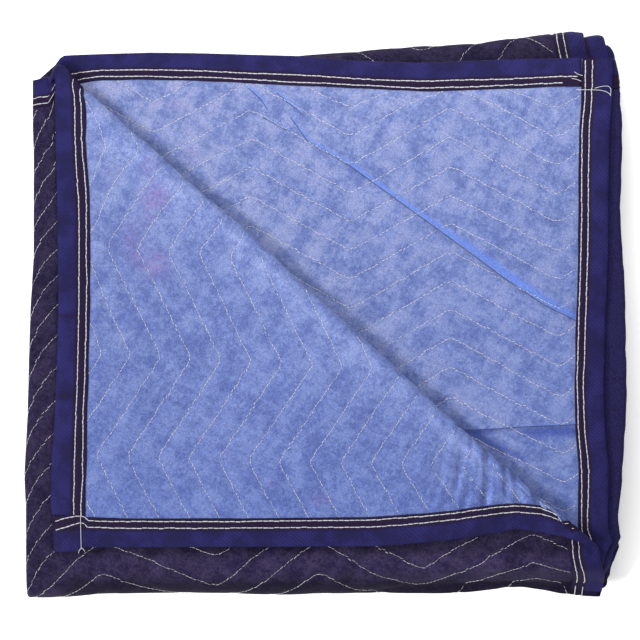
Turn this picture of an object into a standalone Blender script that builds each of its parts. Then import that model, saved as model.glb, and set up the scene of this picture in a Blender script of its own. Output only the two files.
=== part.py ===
"""Quilted moving blanket, folded in quarters both ways, with one corner of its top ply turned back.

The blanket is modelled flat, as u along its long side, v along its short side and w up through
its dark face, with w zero at mid-thickness. Two book folds then carry it into the stack: the
first across the width, the second across the depth. Fold side is left and front, and the open
ends lie right and back. Every piece goes through the same folds, so the binding tapes keep
their 0.3 mm from the quilt along their whole length.
"""

import math

import bmesh
import bpy
import numpy as np

# the cloth, in metres
CLOTH_WIDTH = 2.000  # long side, which the first fold lays across the stack
CLOTH_DEPTH = 1.830  # short side, which the second fold lays from front to back
PLY = 0.0032  # full thickness of the quilt
PITCH = 0.0040  # from one ply of the stack to the next
GROOVE = 0.0007  # how deep a quilting seam draws in each face
HEM = 0.0014  # thickness of the quilt squeezed between the tapes
GAP = 0.0003  # clear space between the quilt and a tape

# the binding tape
TAPE_THICK = 0.0006
TAPE_WIDTH = 0.0255
HEM_END = TAPE_WIDTH + 0.0015  # the quilt is thin up to here
HEM_SLOPE = 0.0035  # and at full thickness past this further stretch

# the folds
SLAB = 4 * PITCH  # four plies, which the second fold bends as one
END_A_INSET = 0.007  # the top ply's open end lies this far inside the far bend's centre
END_B_INSET = 0.004  # the second ply's
END_C_INSET = -0.0035  # the back ends of the upper quarter
END_D_INSET = 0.004  # the back ends of the quarter below it
BEND_STEPS = (6, 4, 4)  # straight steps round the outer, the far and the inner bend of a fold

# the corner that is turned back, as it lies in the stack before the last shaping
CREASE_START = (-0.2425, 0.2236)
CREASE_END = (0.2338, -0.1955)
FLAP_CORNER = (-0.2270, -0.1965)  # where the corner comes to lie
ROLL = 0.0026  # radius of the crease at mid-thickness
ROLL_STEPS = 4

# zigzag quilting, as it lies on the upper two plies
SEAM_PITCH = 0.0244
SEAM_RISE = 0.0476  # from the low points of a zigzag to its high points
SEAM_HALF = 0.0852  # from one point of a zigzag to the next
FIRST_POINT_A = 0.0740  # from end A to the first point on the top ply
FIRST_POINT_B = 0.0480  # from end B to the first point on the second ply

# How far the sides stand off the straight. Each row is a line across every leg of a fold, at a
# share of the way from the near bend to the far one, where the cloth is cut and may change course.
# columns: share, front, back of the upper quarters, back of the lower quarters
ACROSS_WIDTH = (
    (0.00, 0.0017, -0.0240, -0.0360),
    (0.06, 0.0002, -0.0030, -0.0200),
    (0.28, -0.0030, -0.0012, -0.0165),
    (0.54, -0.0030, -0.0061, -0.0062),
    (0.86, -0.0085, -0.0043, 0.0062),
    (0.92, -0.0040, -0.0036, 0.0086),
    (1.00, -0.0040, -0.0036, -0.0010),
)
# columns: share, left, right
ACROSS_DEPTH = (
    (0.00, 0.0009, -0.0080),
    (0.15, 0.0023, -0.0005),
    (0.36, -0.0008, 0.0035),
    (0.68, -0.0056, -0.0006),
    (1.00, -0.0080, -0.0080),
)
BACK_PULL_FROM = 0.6  # share of the depth where the shifts of the back begin
SAG = 0.03  # share of its height that the stack loses towards its sides

COLLECTION = "moving_blanket"
DARK_CLOTH = (0.020, 0.019, 0.045, 1.0)
TAPE_CLOTH = (0.026, 0.022, 0.060, 1.0)


def book_fold(length, pitch, inset_first, inset_last):
    """Rows (start, run, across, height, heading, curvature) of a length folded twice in half.

    It starts at the far side on level +1.5 of the pitch, goes round the near side to level
    -1.5, round the far side to -0.5, and round the near side, inside the first bend, to +0.5.
    """
    leg = (length - 2.5 * math.pi * pitch + inset_first + inset_last) / 4.0
    near = 0.5 * pitch - leg / 2.0
    far = near + leg
    outer, inner = 1.5 * pitch, 0.5 * pitch
    runs = (
        (leg - inset_first, 0.0),
        (math.pi * outer, 1.0 / outer),
        (leg, 0.0),
        (math.pi * inner, 1.0 / inner),
        (leg, 0.0),
        (math.pi * inner, -1.0 / inner),
        (leg - inset_last, 0.0),
    )
    rows = []
    start, across, height, heading = 0.0, far - inset_first, outer, math.pi
    for run, curvature in runs:
        rows.append((start, run, across, height, heading, curvature))
        turned = heading + curvature * run
        if curvature:
            across += (math.sin(turned) - math.sin(heading)) / curvature
            height -= (math.cos(turned) - math.cos(heading)) / curvature
        else:
            across += run * math.cos(heading)
        start, heading = start + run, turned
    return np.array(rows)


def follow(rows, along, offset):
    """Where points that lie along the fold, and offset to its outer side, come to lie."""
    index = np.clip(np.searchsorted(rows[:, 0], along, side="right") - 1, 0, len(rows) - 1)
    start, _, across, height, heading, curvature = rows[index].T
    past = along - start
    turned = heading + curvature * past
    bent = curvature != 0.0
    divisor = np.where(bent, curvature, 1.0)
    step_across = np.where(bent, (np.sin(turned) - np.sin(heading)) / divisor, past * np.cos(heading))
    step_height = np.where(bent, -(np.cos(turned) - np.cos(heading)) / divisor, past * np.sin(heading))
    return (
        across + step_across + offset * np.sin(turned),
        height + step_height - offset * np.cos(turned),
    )


WIDTH_FOLD = book_fold(CLOTH_WIDTH, PITCH, END_A_INSET, END_B_INSET)
DEPTH_FOLD = book_fold(CLOTH_DEPTH, SLAB, END_C_INSET, END_D_INSET)
FIRST_U = WIDTH_FOLD[0, 1]  # the top ply ends and its bend begins
LAST_U = WIDTH_FOLD[6, 0]  # the second ply begins
FIRST_V = DEPTH_FOLD[0, 1]  # the upper quarter ends and its bend begins
FLOOR = -1.5 * SLAB - 1.5 * PITCH - PLY / 2.0  # lowest level of the unshaped stack
TOP_PLY = 3.0 * (SLAB + PITCH) / 2.0 - FLOOR  # middle of the top ply above the floor
HALF_WIDTH = (WIDTH_FOLD[3, 2] - WIDTH_FOLD[1, 2] + 2.0 * PITCH + PLY) / 2.0
HALF_DEPTH = (DEPTH_FOLD[3, 2] - DEPTH_FOLD[1, 2] + 2.0 * SLAB + 3.0 * PITCH + PLY) / 2.0


def crease_frame():
    """Start of the crease, its direction, and the direction from it to the turned corner."""
    start = np.array(CREASE_START)
    run = np.array(CREASE_END) - start
    direction = run / np.linalg.norm(run)
    return start, direction, np.array((-direction[1], direction[0]))


def turn_corner(x, y, w):
    """Roll what lies past the crease over it and back, and skew it to the corner's resting place."""
    start, direction, away = crease_frame()
    corner = np.array((WIDTH_FOLD[0, 2], DEPTH_FOLD[0, 2])) - start
    rest = np.array(FLAP_CORNER) - start
    skew = (rest @ direction - corner @ direction) / (corner @ away)
    squeeze = -(rest @ away) / (corner @ away - math.pi * ROLL)
    along = (x - start[0]) * direction[0] + (y - start[1]) * direction[1]
    past = (x - start[0]) * away[0] + (y - start[1]) * away[1]
    angle = np.clip(past / ROLL, 0.0, math.pi)
    across = (ROLL - w) * np.sin(angle) - squeeze * np.maximum(past - math.pi * ROLL, 0.0)
    along = along + skew * past
    height = TOP_PLY + ROLL - (ROLL - w) * np.cos(angle)
    return (
        start[0] + along * direction[0] + across * away[0],
        start[1] + along * direction[1] + across * away[1],
        height,
    )


def knots(rows, table):
    """Where the rows of a table lie: from the near bend's centre to the far bend's."""
    return rows[2, 2] + np.array(table)[:, 0] * rows[2, 1]


def shape_sides(x, y, z):
    """Move the straight sides to their uneven outline and lower the stack a little towards them.

    Every shift is straight between the lines of the tables, so that plies which are cut at
    those lines keep their distance from each other.
    """
    x_knots, y_knots = knots(WIDTH_FOLD, ACROSS_WIDTH), knots(DEPTH_FOLD, ACROSS_DEPTH)
    _, front, back_upper, back_lower = np.array(ACROSS_WIDTH).T
    _, left, right = np.array(ACROSS_DEPTH).T
    rightness = (x + HALF_WIDTH) / (2.0 * HALF_WIDTH)
    backness = (y + HALF_DEPTH) / (2.0 * HALF_DEPTH)
    back_pull = np.clip((backness - BACK_PULL_FROM) / (1.0 - BACK_PULL_FROM), 0.0, 1.0)
    back = np.where(z > -FLOOR, np.interp(x, x_knots, back_upper), np.interp(x, x_knots, back_lower))
    sideways = rightness * np.interp(y, y_knots, right) - (1.0 - rightness) * np.interp(y, y_knots, left)
    lengthways = back_pull * back - (1.0 - backness) * np.interp(x, x_knots, front)
    sag = np.interp(x, x_knots, (x_knots / HALF_WIDTH) ** 2)
    sag = sag + np.interp(y, y_knots, (y_knots / HALF_DEPTH) ** 2)
    return x + sideways, y + lengthways, z * (1.0 - SAG * sag / 2.0)


def lay_in_stack(u, v, w):
    """Carry flat points through both folds, the turned corner and the shaping of the sides."""
    x, level = follow(WIDTH_FOLD, u, w)
    y, height = follow(DEPTH_FOLD, v, level)
    z = height - FLOOR
    start, _, away = crease_frame()
    past = (x - start[0]) * away[0] + (y - start[1]) * away[1]
    turned = (u < FIRST_U) & (v < FIRST_V) & (past > 1e-7)
    corner_x, corner_y, corner_z = turn_corner(x, y, w)
    x, y, z = (np.where(turned, a, b) for a, b in ((corner_x, x), (corner_y, y), (corner_z, z)))
    return np.stack(shape_sides(x, y, z), axis=-1)


def cuts(rows, table, length):
    """Places along a fold where its cloth is cut: at the table's lines, along bends and hems."""
    shares = np.array(table)[:, 0]
    places = [HEM_END, HEM_END + HEM_SLOPE, length - HEM_END, length - HEM_END - HEM_SLOPE]
    for leg in range(0, 7, 2):
        start, run = rows[leg, :2]
        towards_near = leg in (0, 4)
        from_near = shares * rows[2, 1]
        places.extend(start + run - from_near if towards_near else start + from_near)
    for bend, steps in zip((1, 3, 5), BEND_STEPS):
        start, run = rows[bend, :2]
        places.extend(start + run * step / steps for step in range(1, steps))
    places = sorted(place for place in places if 0.001 < place < length - 0.001)
    return [b for a, b in zip([0.0] + places, places) if b - a > 1e-5]


def past_crease(u, v):
    """How far a point of the upper two plies lies past the crease, before the corner is turned."""
    start, _, away = crease_frame()
    x = np.where(u < FIRST_U, WIDTH_FOLD[0, 2] - u, WIDTH_FOLD[6, 2] + u - LAST_U)
    y = DEPTH_FOLD[0, 2] - v
    return (x - start[0]) * away[0] + (y - start[1]) * away[1]


def seams_show(u, v):
    """Whether seams are drawn: on the turned corner, the left rim and the second ply's open part."""
    past = past_crease(u, v)
    left_rim = u > FIRST_U - ACROSS_WIDTH[1][0] * WIDTH_FOLD[2, 1] - 1e-6
    top = (u < FIRST_U) & ((past > math.pi * ROLL - 1e-6) | left_rim)
    second = (u > LAST_U) & (past > -SEAM_RISE)
    inwards = np.minimum(np.minimum(u, CLOTH_WIDTH - u), v)
    return (top | second) & (v < FIRST_V) & (inwards > HEM_END)


def seam_columns():
    """Strips between the points of the zigzags, as rows (from, to, v at from, v at to)."""
    columns = []
    for first, direction, low, high in (
        (FIRST_POINT_A, 1.0, 0.0, FIRST_U),
        (CLOTH_WIDTH - FIRST_POINT_B, -1.0, LAST_U, CLOTH_WIDTH),
    ):
        for step in range(-1, 7):
            begin = first + direction * step * SEAM_HALF
            end = begin + direction * SEAM_HALF
            rise = SEAM_RISE if step % 2 else 0.0
            ends = sorted(((begin, rise), (end, SEAM_RISE - rise)))
            if ends[0][0] < high - 0.001 and ends[1][0] > low + 0.001:
                columns.append((ends[0][0], ends[1][0], ends[0][1], ends[1][1]))
    return columns


def seam_phase(u, v):
    """Distance from the nearest zigzag seam, from 0 on it to 1 half way to the next."""
    rise = np.full_like(u, np.nan)
    for begin, end, low, high in SEAM_COLUMNS:
        inside = (u >= begin - 1e-6) & (u <= end + 1e-6)
        rise = np.where(inside, low + (high - low) * (u - begin) / (end - begin), rise)
    turn = ((v - rise) / SEAM_PITCH) % 1.0
    return np.nan_to_num(1.0 - np.abs(2.0 * turn - 1.0), nan=1.0)


SEAM_COLUMNS = seam_columns()
U_CUTS = cuts(WIDTH_FOLD, ACROSS_WIDTH, CLOTH_WIDTH)
V_CUTS = cuts(DEPTH_FOLD, ACROSS_DEPTH, CLOTH_DEPTH)


def cut(bm, point, normal, keep=lambda centre: True):
    """Cut the faces whose centre is wanted along one upright plane."""
    faces = [face for face in bm.faces if keep(face.calc_center_median())]
    edges = {edge for face in faces for edge in face.edges}
    verts = {vert for face in faces for vert in face.verts}
    geometry = list(verts) + list(edges) + faces
    bmesh.ops.bisect_plane(bm, geom=geometry, dist=1e-6, plane_co=point, plane_no=normal)


def cut_crease(bm):
    """Lines along the crease, across the part of the top ply that lies flat."""
    start, direction, away = crease_frame()
    # on the top ply u runs to the left from end A, and v to the front from the back end
    normal = (-away[0], -away[1], 0.0)
    for step in range(ROLL_STEPS + 1):
        line = start + away * math.pi * ROLL * step / ROLL_STEPS
        place = (WIDTH_FOLD[0, 2] - line[0], DEPTH_FOLD[0, 2] - line[1], 0.0)
        cut(bm, place, normal, lambda centre: centre.x < FIRST_U and centre.y < FIRST_V)


def thickness(u, v):
    """Half the quilt's thickness: thin in the hems, drawn in along the seams that show."""
    inwards = np.minimum(np.minimum(u, CLOTH_WIDTH - u), np.minimum(v, CLOTH_DEPTH - v))
    fullness = np.clip((inwards - HEM_END) / HEM_SLOPE, 0.0, 1.0)
    full = PLY / 2.0 - np.where(seams_show(u, v), GROOVE * (1.0 - seam_phase(u, v)), 0.0)
    return HEM / 2.0 + (full - HEM / 2.0) * fullness


def flat_quilt():
    """The quilt as a flat sheet, cut wherever it will bend, and given its two faces."""
    bm = bmesh.new()
    bmesh.ops.create_grid(bm, x_segments=1, y_segments=1, size=0.5)
    for vert in bm.verts:
        vert.co.x = (vert.co.x + 0.5) * CLOTH_WIDTH
        vert.co.y = (vert.co.y + 0.5) * CLOTH_DEPTH
    for place in U_CUTS:
        cut(bm, (place, 0.0, 0.0), (1.0, 0.0, 0.0))
    for place in V_CUTS:
        cut(bm, (0.0, place, 0.0), (0.0, 1.0, 0.0))
    cut_crease(bm)
    for begin, end, low, high in SEAM_COLUMNS:
        for edge in (begin, end):
            cut(bm, (edge, 0.0, 0.0), (1.0, 0.0, 0.0), lambda centre: seams_show(centre.x, centre.y))

        def in_column(centre):
            return begin < centre.x < end and seams_show(centre.x, centre.y)

        normal = (low - high, end - begin, 0.0)
        first = math.ceil((HEM_END - SEAM_RISE) / SEAM_PITCH * 2.0)
        last = math.floor(FIRST_V / SEAM_PITCH * 2.0)
        for half in range(first, last + 1):
            cut(bm, (begin, low + half * SEAM_PITCH / 2.0, 0.0), normal, in_column)
    raised = bmesh.ops.extrude_face_region(bm, geom=list(bm.faces))
    for item in raised["geom"]:
        if isinstance(item, bmesh.types.BMVert):
            item.co.z = 1.0
    for vert in bm.verts:
        if vert.co.z < 0.5:
            vert.co.z = -1.0
    return bm


def flat_tape(edge):
    """A binding tape along one edge of the flat quilt: a U of cloth round the hem.

    Its section is drawn as (inwards, up) and drawn out along the edge.
    """
    outer, inner = PLY / 2.0, HEM / 2.0 + GAP
    nose, bed = -GAP - TAPE_THICK, -GAP
    section = (
        (TAPE_WIDTH, outer), (nose, outer), (nose, -outer), (TAPE_WIDTH, -outer),
        (TAPE_WIDTH, -inner), (bed, -inner), (bed, inner), (TAPE_WIDTH, inner),
    )
    along_u = edge in ("back", "hidden")
    length = CLOTH_WIDTH if along_u else CLOTH_DEPTH
    mirrored = edge in ("hidden", "second")
    breadth = CLOTH_DEPTH if along_u else CLOTH_WIDTH
    begin = nose if along_u else TAPE_WIDTH + GAP
    bm = bmesh.new()
    corners = []
    for inwards, up in section:
        across = breadth - inwards if mirrored else inwards
        corners.append(bm.verts.new((begin, across, up) if along_u else (across, begin, up)))
    end_face = bm.faces.new(corners)
    drawn = bmesh.ops.extrude_face_region(bm, geom=[end_face])
    for item in drawn["geom"]:
        if isinstance(item, bmesh.types.BMVert):
            item.co[0 if along_u else 1] = length - begin
    for place in U_CUTS if along_u else V_CUTS:
        normal = (1.0, 0.0, 0.0) if along_u else (0.0, 1.0, 0.0)
        cut(bm, [place * share for share in normal], normal)
    if edge in ("back", "top"):
        cut_crease(bm)
    return bm


def fold_up(bm, half_thickness=None):
    """Move a flat piece's points into the stack, with its faces turned outwards before."""
    bmesh.ops.recalc_face_normals(bm, faces=bm.faces)
    flat = np.array([vert.co[:] for vert in bm.verts])
    w = flat[:, 2]
    if half_thickness:
        w = w * half_thickness(flat[:, 0], flat[:, 1])
    for vert, place in zip(bm.verts, lay_in_stack(flat[:, 0], flat[:, 1], w)):
        vert.co = place
    return bm


def cloth(name, colour, roughness):
    material = bpy.data.materials.new(name)
    material.use_nodes = True
    shader = material.node_tree.nodes["Principled BSDF"]
    shader.inputs["Base Color"].default_value = colour
    shader.inputs["Roughness"].default_value = roughness
    shader.inputs["Metallic"].default_value = 0.0
    return material


def centre_of(pieces):
    """Middle of the pieces' common box, seen from above."""
    places = np.array([vert.co[:] for bm in pieces for vert in bm.verts])
    middle = (places.min(axis=0) + places.max(axis=0)) / 2.0
    return middle[0], middle[1]


def add_object(collection, name, bm, middle, material):
    bmesh.ops.translate(bm, verts=bm.verts, vec=(-middle[0], -middle[1], 0.0))
    mesh = bpy.data.meshes.new(name)
    bm.to_mesh(mesh)
    bm.free()
    mesh.materials.append(material)
    mesh.shade_smooth()
    mesh.set_sharp_from_angle(angle=math.radians(40.0))
    item = bpy.data.objects.new(name, mesh)
    collection.objects.link(item)


def main():
    for item in list(bpy.data.objects):
        bpy.data.objects.remove(item, do_unlink=True)
    collection = bpy.data.collections.new(COLLECTION)
    bpy.context.scene.collection.children.link(collection)
    pieces = {"quilt": fold_up(flat_quilt(), thickness)}
    for name, edge in (
        ("binding_top_end", "top"),
        ("binding_second_end", "second"),
        ("binding_back_edge", "back"),
        ("binding_hidden_edge", "hidden"),
    ):
        pieces[name] = fold_up(flat_tape(edge))
    middle = centre_of(pieces.values())
    for name, bm in pieces.items():
        colour, roughness = (DARK_CLOTH, 0.6) if name == "quilt" else (TAPE_CLOTH, 0.75)
        add_object(collection, name, bm, middle, cloth(name + "_cloth", colour, roughness))


main()
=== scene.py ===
"""Finished look of the folded moving blanket: its plies, binding tapes, seams and loose threads.

Every piece is worked out flat on the cloth and carried through the same folds. A point of the
flat cloth is (u, v, w): u runs from the end that lies on top to the other end, v from the edge
at the back of the upper quarter to the hidden edge, and w up through the dark outer face.
In the stack x runs right, y back and z up, and the stack's middle lies at the origin.
"""

import math
from contextlib import contextmanager

import bmesh
import bpy
import numpy as np
from bpy.props import FloatProperty, FloatVectorProperty, PointerProperty
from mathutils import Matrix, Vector


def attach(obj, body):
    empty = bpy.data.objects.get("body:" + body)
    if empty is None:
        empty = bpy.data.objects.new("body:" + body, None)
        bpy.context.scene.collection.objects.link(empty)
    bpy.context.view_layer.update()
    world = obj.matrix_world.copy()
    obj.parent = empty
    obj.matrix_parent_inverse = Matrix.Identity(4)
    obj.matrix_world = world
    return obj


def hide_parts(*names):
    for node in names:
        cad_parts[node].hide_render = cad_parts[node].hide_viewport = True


bl_info = {
    "name": "Folded Moving Blanket",
    "version": (1, 0, 0),
    "blender": (4, 5, 0),
    "location": "3D View > Sidebar > Blanket",
    "description": "Builds a quilted, bound blanket folded in quarters with one corner turned back",
    "category": "Object",
}

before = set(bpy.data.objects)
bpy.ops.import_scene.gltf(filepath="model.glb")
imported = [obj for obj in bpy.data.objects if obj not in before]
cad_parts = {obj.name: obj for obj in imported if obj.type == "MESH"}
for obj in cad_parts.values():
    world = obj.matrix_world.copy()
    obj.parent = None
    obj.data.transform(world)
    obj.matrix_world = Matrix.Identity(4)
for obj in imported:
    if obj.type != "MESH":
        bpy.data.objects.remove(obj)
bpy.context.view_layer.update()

# ---------------------------------------------------------------- the cloth and its folds (metres)
CLOTH_WIDTH = 2.000
CLOTH_DEPTH = 1.830
PLY = 0.0032  # full thickness of the quilt
PITCH = 0.0040  # from one ply of the stack to the next
SLAB = 4 * PITCH  # four plies, which the second fold bends as one
HEM = 0.0014  # thickness of the quilt squeezed between the two sides of a tape
GAP = 0.0003  # clear space between the quilt and a tape
TAPE_THICK = 0.0006
TAPE_OUT = GAP + TAPE_THICK  # how far a tape stands out past the cloth's edge
TAPE_WIDTH = 0.0255
TAPE_ROWS = (TAPE_WIDTH - 0.0030, TAPE_WIDTH - 0.0090)  # its two rows of stitches, from the cloth's edge
ROWS_MIDDLE = sum(TAPE_ROWS) / 2.0
HEM_END = TAPE_WIDTH + 0.0006  # the quilt is thin up to here
HEM_SLOPE = 0.0040  # and at full thickness past this further stretch
CRUSH = 0.0004  # how much thinner the hem's half is where the tape goes round the crease
END_INSETS = (0.007, 0.004)  # how far inside the far bend's middle the first fold's two ends lie
EDGE_INSETS = (-0.0035, 0.004)  # and the second fold's
CREASE_START = (-0.2425, 0.2236)
CREASE_END = (0.2338, -0.1955)
FLAP_CORNER = (-0.2270, -0.1965)  # where the turned corner's point comes to lie
ROLL = 0.0036  # radius of the crease at mid-thickness
SETTLE = 0.0036  # how far the turned corner sinks away from its roll
OPEN_LIFT = 0.0006  # how far the plies that lie open stand off, so that their hollows have room
BACK_DRAW = 0.0148  # how far the top end is drawn in where it lies in the back fold
STACK_MIDDLE = (0.0006, 0.00345)  # what the stack is moved by, so that it lies centred
SEAM_SLOPE = 0.87  # distance square to a seam, as a share of the distance along the pitch
MM = 0.001
TINY = 1e-6  # added where a place on a fold's line has to count as inside

# zigzag seams, in millimetres in the stack: points of one zigzag as (x, y), and as (y, x) on the
# turned corner, whose seams run from back to front
OPEN_SEAM = (
    (-228.7, 176.8), (-145.3, 132.9), (-61.6, 176.8), (22.1, 129.2), (108.0, 177.7), (197.2, 128.0),
    (277.1, 175.9),
)
OPEN_SEAM_PITCH = 24.4
FLAP_SEAM = (
    (231.2, -184.4), (144.3, -134.7), (60.4, -184.4), (-31.0, -138.5), (-117.9, -192.9), (-205.0, -150.4),
)
FLAP_SEAM_PITCH = 25.8
OUTER_SEAM = (
    (-270.0, -306.0), (-252.0, -284.0), (-247.5, -275.0), (-242.7, -264.5), (-237.0, -253.0),
    (-227.8, -243.5), (-207.0, -227.5), (-188.7, -215.0), (-91.1, -252.0), (-60.0, -228.6),
    (-19.0, -199.9), (-3.4, -189.5), (40.0, -215.1), (86.7, -238.6), (184.5, -182.2), (268.6, -219.9),
)
OUTER_SEAM_PITCH = 24.4

# how far the outer seams are pulled towards the front: (y in millimetres, thousandths of a pitch)
OUTER_DRIFT = (
    (212.0, -290.0), (183.5, -120.0), (153.7, 100.0), (127.3, 180.0), (96.2, 455.0), (72.0, 450.0),
    (47.5, 450.0), (23.0, 460.0), (-4.2, 570.0), (-29.6, 610.0), (-57.0, 740.0), (-84.7, 870.0),
    (-111.5, 970.0), (-136.4, 990.0), (-161.6, 1010.0), (-187.0, 1060.0), (-212.6, 1000.0),
)

# outlines of the stack, in millimetres: (y, x) at the sides, (x, y) at the front and the back
LEFT_OUTLINE = (
    (185.3, -248.2), (150.4, -247.3), (51.9, -247.3), (9.3, -249.9), (-19.6, -250.8), (-83.3, -252.6),
    (-132.6, -255.3), (-161.5, -253.9), (-232.9, -253.9),
)
RIGHT_OUTLINE = (
    (230.1, 246.9), (215.9, 250.2), (208.2, 251.8), (175.1, 253.9), (158.1, 254.6), (116.5, 253.5),
    (90.1, 252.7), (68.0, 253.6), (45.0, 255.6), (14.4, 256.9), (-50.1, 258.0), (-70.5, 258.2),
    (-95.2, 257.2), (-130.0, 255.0), (-153.0, 253.9), (-175.9, 250.5), (-184.4, 251.8),
    (-198.0, 253.5), (-208.6, 246.8), (-222.7, 243.0), (-234.5, 238.6),
)
FRONT_OUTLINE = (
    (-243.1, -240.0), (-223.5, -239.8), (-192.1, -237.2), (-145.3, -236.0), (-88.4, -236.0),
    (-40.8, -237.6), (24.6, -236.2), (96.9, -236.6), (119.0, -236.4), (149.6, -232.9),
    (172.5, -230.9), (194.7, -234.2), (207.4, -237.3), (226.9, -239.5), (245.0, -240.5),
)
FRONT_UPPER_OUTLINE = FRONT_OUTLINE[:7] + (
    (65.0, -231.0), (95.0, -228.5), (119.0, -227.5), (149.6, -226.0), (172.5, -226.0), (194.7, -227.0),
    (215.0, -227.5), (245.0, -228.6),
)
# the right edges of the top ply and of the second ply, with their tapes, in millimetres: (y, x)
TOP_RIGHT_OUTLINE = (
    (200.0, 243.0), (-120.0, 243.4), (-150.0, 241.0), (-175.0, 236.0), (-192.0, 233.9), (-205.0, 235.0),
    (-222.0, 238.5), (-240.0, 241.0),
)
SECOND_RIGHT_OUTLINE = (
    (220.0, 246.0), (184.5, 245.3), (159.0, 243.1), (125.0, 242.6), (99.5, 242.3), (57.0, 242.1),
    (14.5, 240.6), (-11.0, 239.5), (-40.8, 238.9), (-53.5, 238.0), (-96.0, 239.4), (-130.0, 242.6),
    (-172.6, 241.9), (-193.8, 242.3),
)
# how far the crease bows back towards the turned corner, in millimetres: (along it, distance)
CREASE_BOW = (
    (8.0, 0.0), (35.0, -3.0), (90.0, -4.2), (170.0, -4.5), (230.0, -2.0), (285.0, -3.9), (340.0, -4.4),
    (398.0, -4.5), (454.0, -6.6), (511.0, -6.8), (567.0, -5.6), (607.0, -4.0), (634.0, -2.0),
)
BACK_UPPER_OUTLINE = (
    (-252.0, 201.5), (-243.0, 203.5), (-237.5, 203.8), (-236.0, 210.0), (-231.8, 218.5), (-226.0, 222.8),
    (-147.9, 225.2), (-105.4, 224.7), (-63.8, 223.5), (-22.1, 222.3), (25.5, 218.2),
    (81.6, 216.4), (155.5, 219.3), (219.3, 220.7), (243.9, 221.0),
)
BACK_LOWER_OUTLINE = (
    (-247.3, 194.0), (-230.0, 208.0), (-150.0, 214.0), (-63.8, 219.0), (-28.9, 223.5), (25.5, 227.5),
    (81.6, 232.3), (111.0, 233.2), (137.0, 235.0), (162.0, 238.5), (188.0, 241.5), (219.0, 245.0),
    (226.0, 243.5), (243.9, 246.5), (252.0, 239.0),
)
# how far the second ply's back binding is moved along its sewn rows, in millimetres: (x, distance)
BACK_ROWS = (
    (-216.8, 1.4), (-203.8, 2.3), (-158.0, 3.1), (-106.0, 1.8), (-80.0, 0.9), (19.0, -4.2), (85.0, -7.4),
    (147.0, -5.3), (202.0, -3.2),
)
# how far the turned corner's front binding is drawn up, at its edge and at its rows: (x, distance)
GATHERED_EDGE = (
    (-240.0, -2.6), (-207.0, -2.6), (-203.0, 1.2), (40.0, 1.2), (64.6, 2.4), (90.6, 4.4), (116.7, 7.5),
    (135.0, 10.0), (155.7, 14.3), (172.6, 18.4), (195.0, 14.6), (214.0, 11.0), (235.0, 5.0),
)
GATHERED_ROWS = (
    (-235.0, 4.2), (-205.0, 3.6), (-170.0, 2.2), (-40.0, 2.2), (40.0, 2.8), (64.6, 4.4), (90.6, 7.0),
    (116.7, 10.4), (150.0, 17.2), (170.0, 20.3), (192.0, 19.6), (214.0, 14.0), (235.0, 8.0),
)
# how far the turned corner's left binding is moved, at its edge and at its rows: (y, distance)
SIDE_EDGE = (
    (203.0, 7.0), (197.0, 7.6), (179.0, 9.0), (160.0, 8.8), (138.0, 8.1), (115.0, 8.3), (90.0, 7.7),
    (43.0, 6.9), (20.0, 7.0), (-6.0, 6.0), (-31.0, 4.8), (-59.0, 3.1), (-86.0, 1.4), (-112.0, -1.2),
    (-138.0, -2.9), (-164.0, -3.6), (-194.0, -1.5),
)
SIDE_ROWS = (
    (203.0, -1.5), (196.0, 1.0), (190.0, 3.3), (166.0, 6.9), (141.0, 7.3), (101.0, 7.9), (62.0, 6.3),
    (14.0, 5.0), (-40.0, 2.4), (-88.0, -0.1), (-163.0, -3.8), (-195.0, -3.8),
)

# creases pressed in the cloth, in millimetres: x and y of both ends, half width, height
OPEN_CREASES = (
    (128.0, -112.0, 172.0, -128.0, 7.0, 2.2),
    (172.0, -112.0, 214.0, -112.0, 6.0, 1.4),
    (-150.0, 8.0, -120.0, -8.0, 4.0, 0.8),
)
# tucks lapped over on the open ply, in millimetres: x and y of each point, height of the lap there,
# how far it slopes away behind, and how wide a strip of clean cloth with a painted highlight it shows
MAIN_TUCK = (
    (-29.4, 172.1, 0.8, 2.5, 1.5), (-13.9, 150.5, 1.6, 3.0, 2.6), (22.1, 129.2, 1.9, 4.0, 4.0),
    (60.2, 101.6, 2.0, 5.0, 4.6), (95.8, 76.0, 2.3, 6.0, 6.0), (126.1, 54.0, 2.8, 7.0, 9.0),
    (155.0, 32.5, 3.0, 8.0, 10.5), (187.8, 10.6, 2.8, 8.0, 10.0), (208.0, 0.5, 2.0, 6.0, 8.0),
    (217.0, -4.0, 1.0, 5.0, 5.0),
)
LOW_TUCK = (
    (118.2, -96.0, 0.8, 8.0, 0.1), (145.0, -94.8, 1.8, 9.0, 0.1), (170.8, -93.0, 2.2, 10.0, 0.5),
    (200.0, -91.8, 2.6, 10.0, 1.5), (216.0, -91.2, 2.4, 10.0, 1.5),
)
SMALL_TUCKS = (
    ((-66.5, 197.5, 0.7, 2.5, 2.2), (-53.1, 185.5, 1.1, 3.0, 3.0), (-47.0, 175.5, 0.5, 2.0, 1.2)),
    ((-53.1, 171.1, 0.4, 2.0, 1.4), (-40.0, 164.0, 0.8, 2.0, 1.6), (-26.4, 156.7, 0.4, 2.0, 1.2)),
    ((-42.0, 193.0, 0.4, 3.0, 2.6), (-30.0, 182.5, 0.7, 3.0, 3.0), (-16.1, 171.5, 0.4, 2.5, 1.6)),
)
TUCKS = (MAIN_TUCK, LOW_TUCK) + SMALL_TUCKS
# painted shade in the hollows beside the low tuck, in millimetres: both ends, half width, strength
HOLLOW_SHADES = (
    (168.0, -98.6, 218.0, -96.6, 4.6, 1.0),
    (124.0, -98.0, 171.0, -121.0, 3.6, 0.85),
    (120.0, -97.6, 150.0, -97.0, 1.6, 0.9),
)
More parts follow.
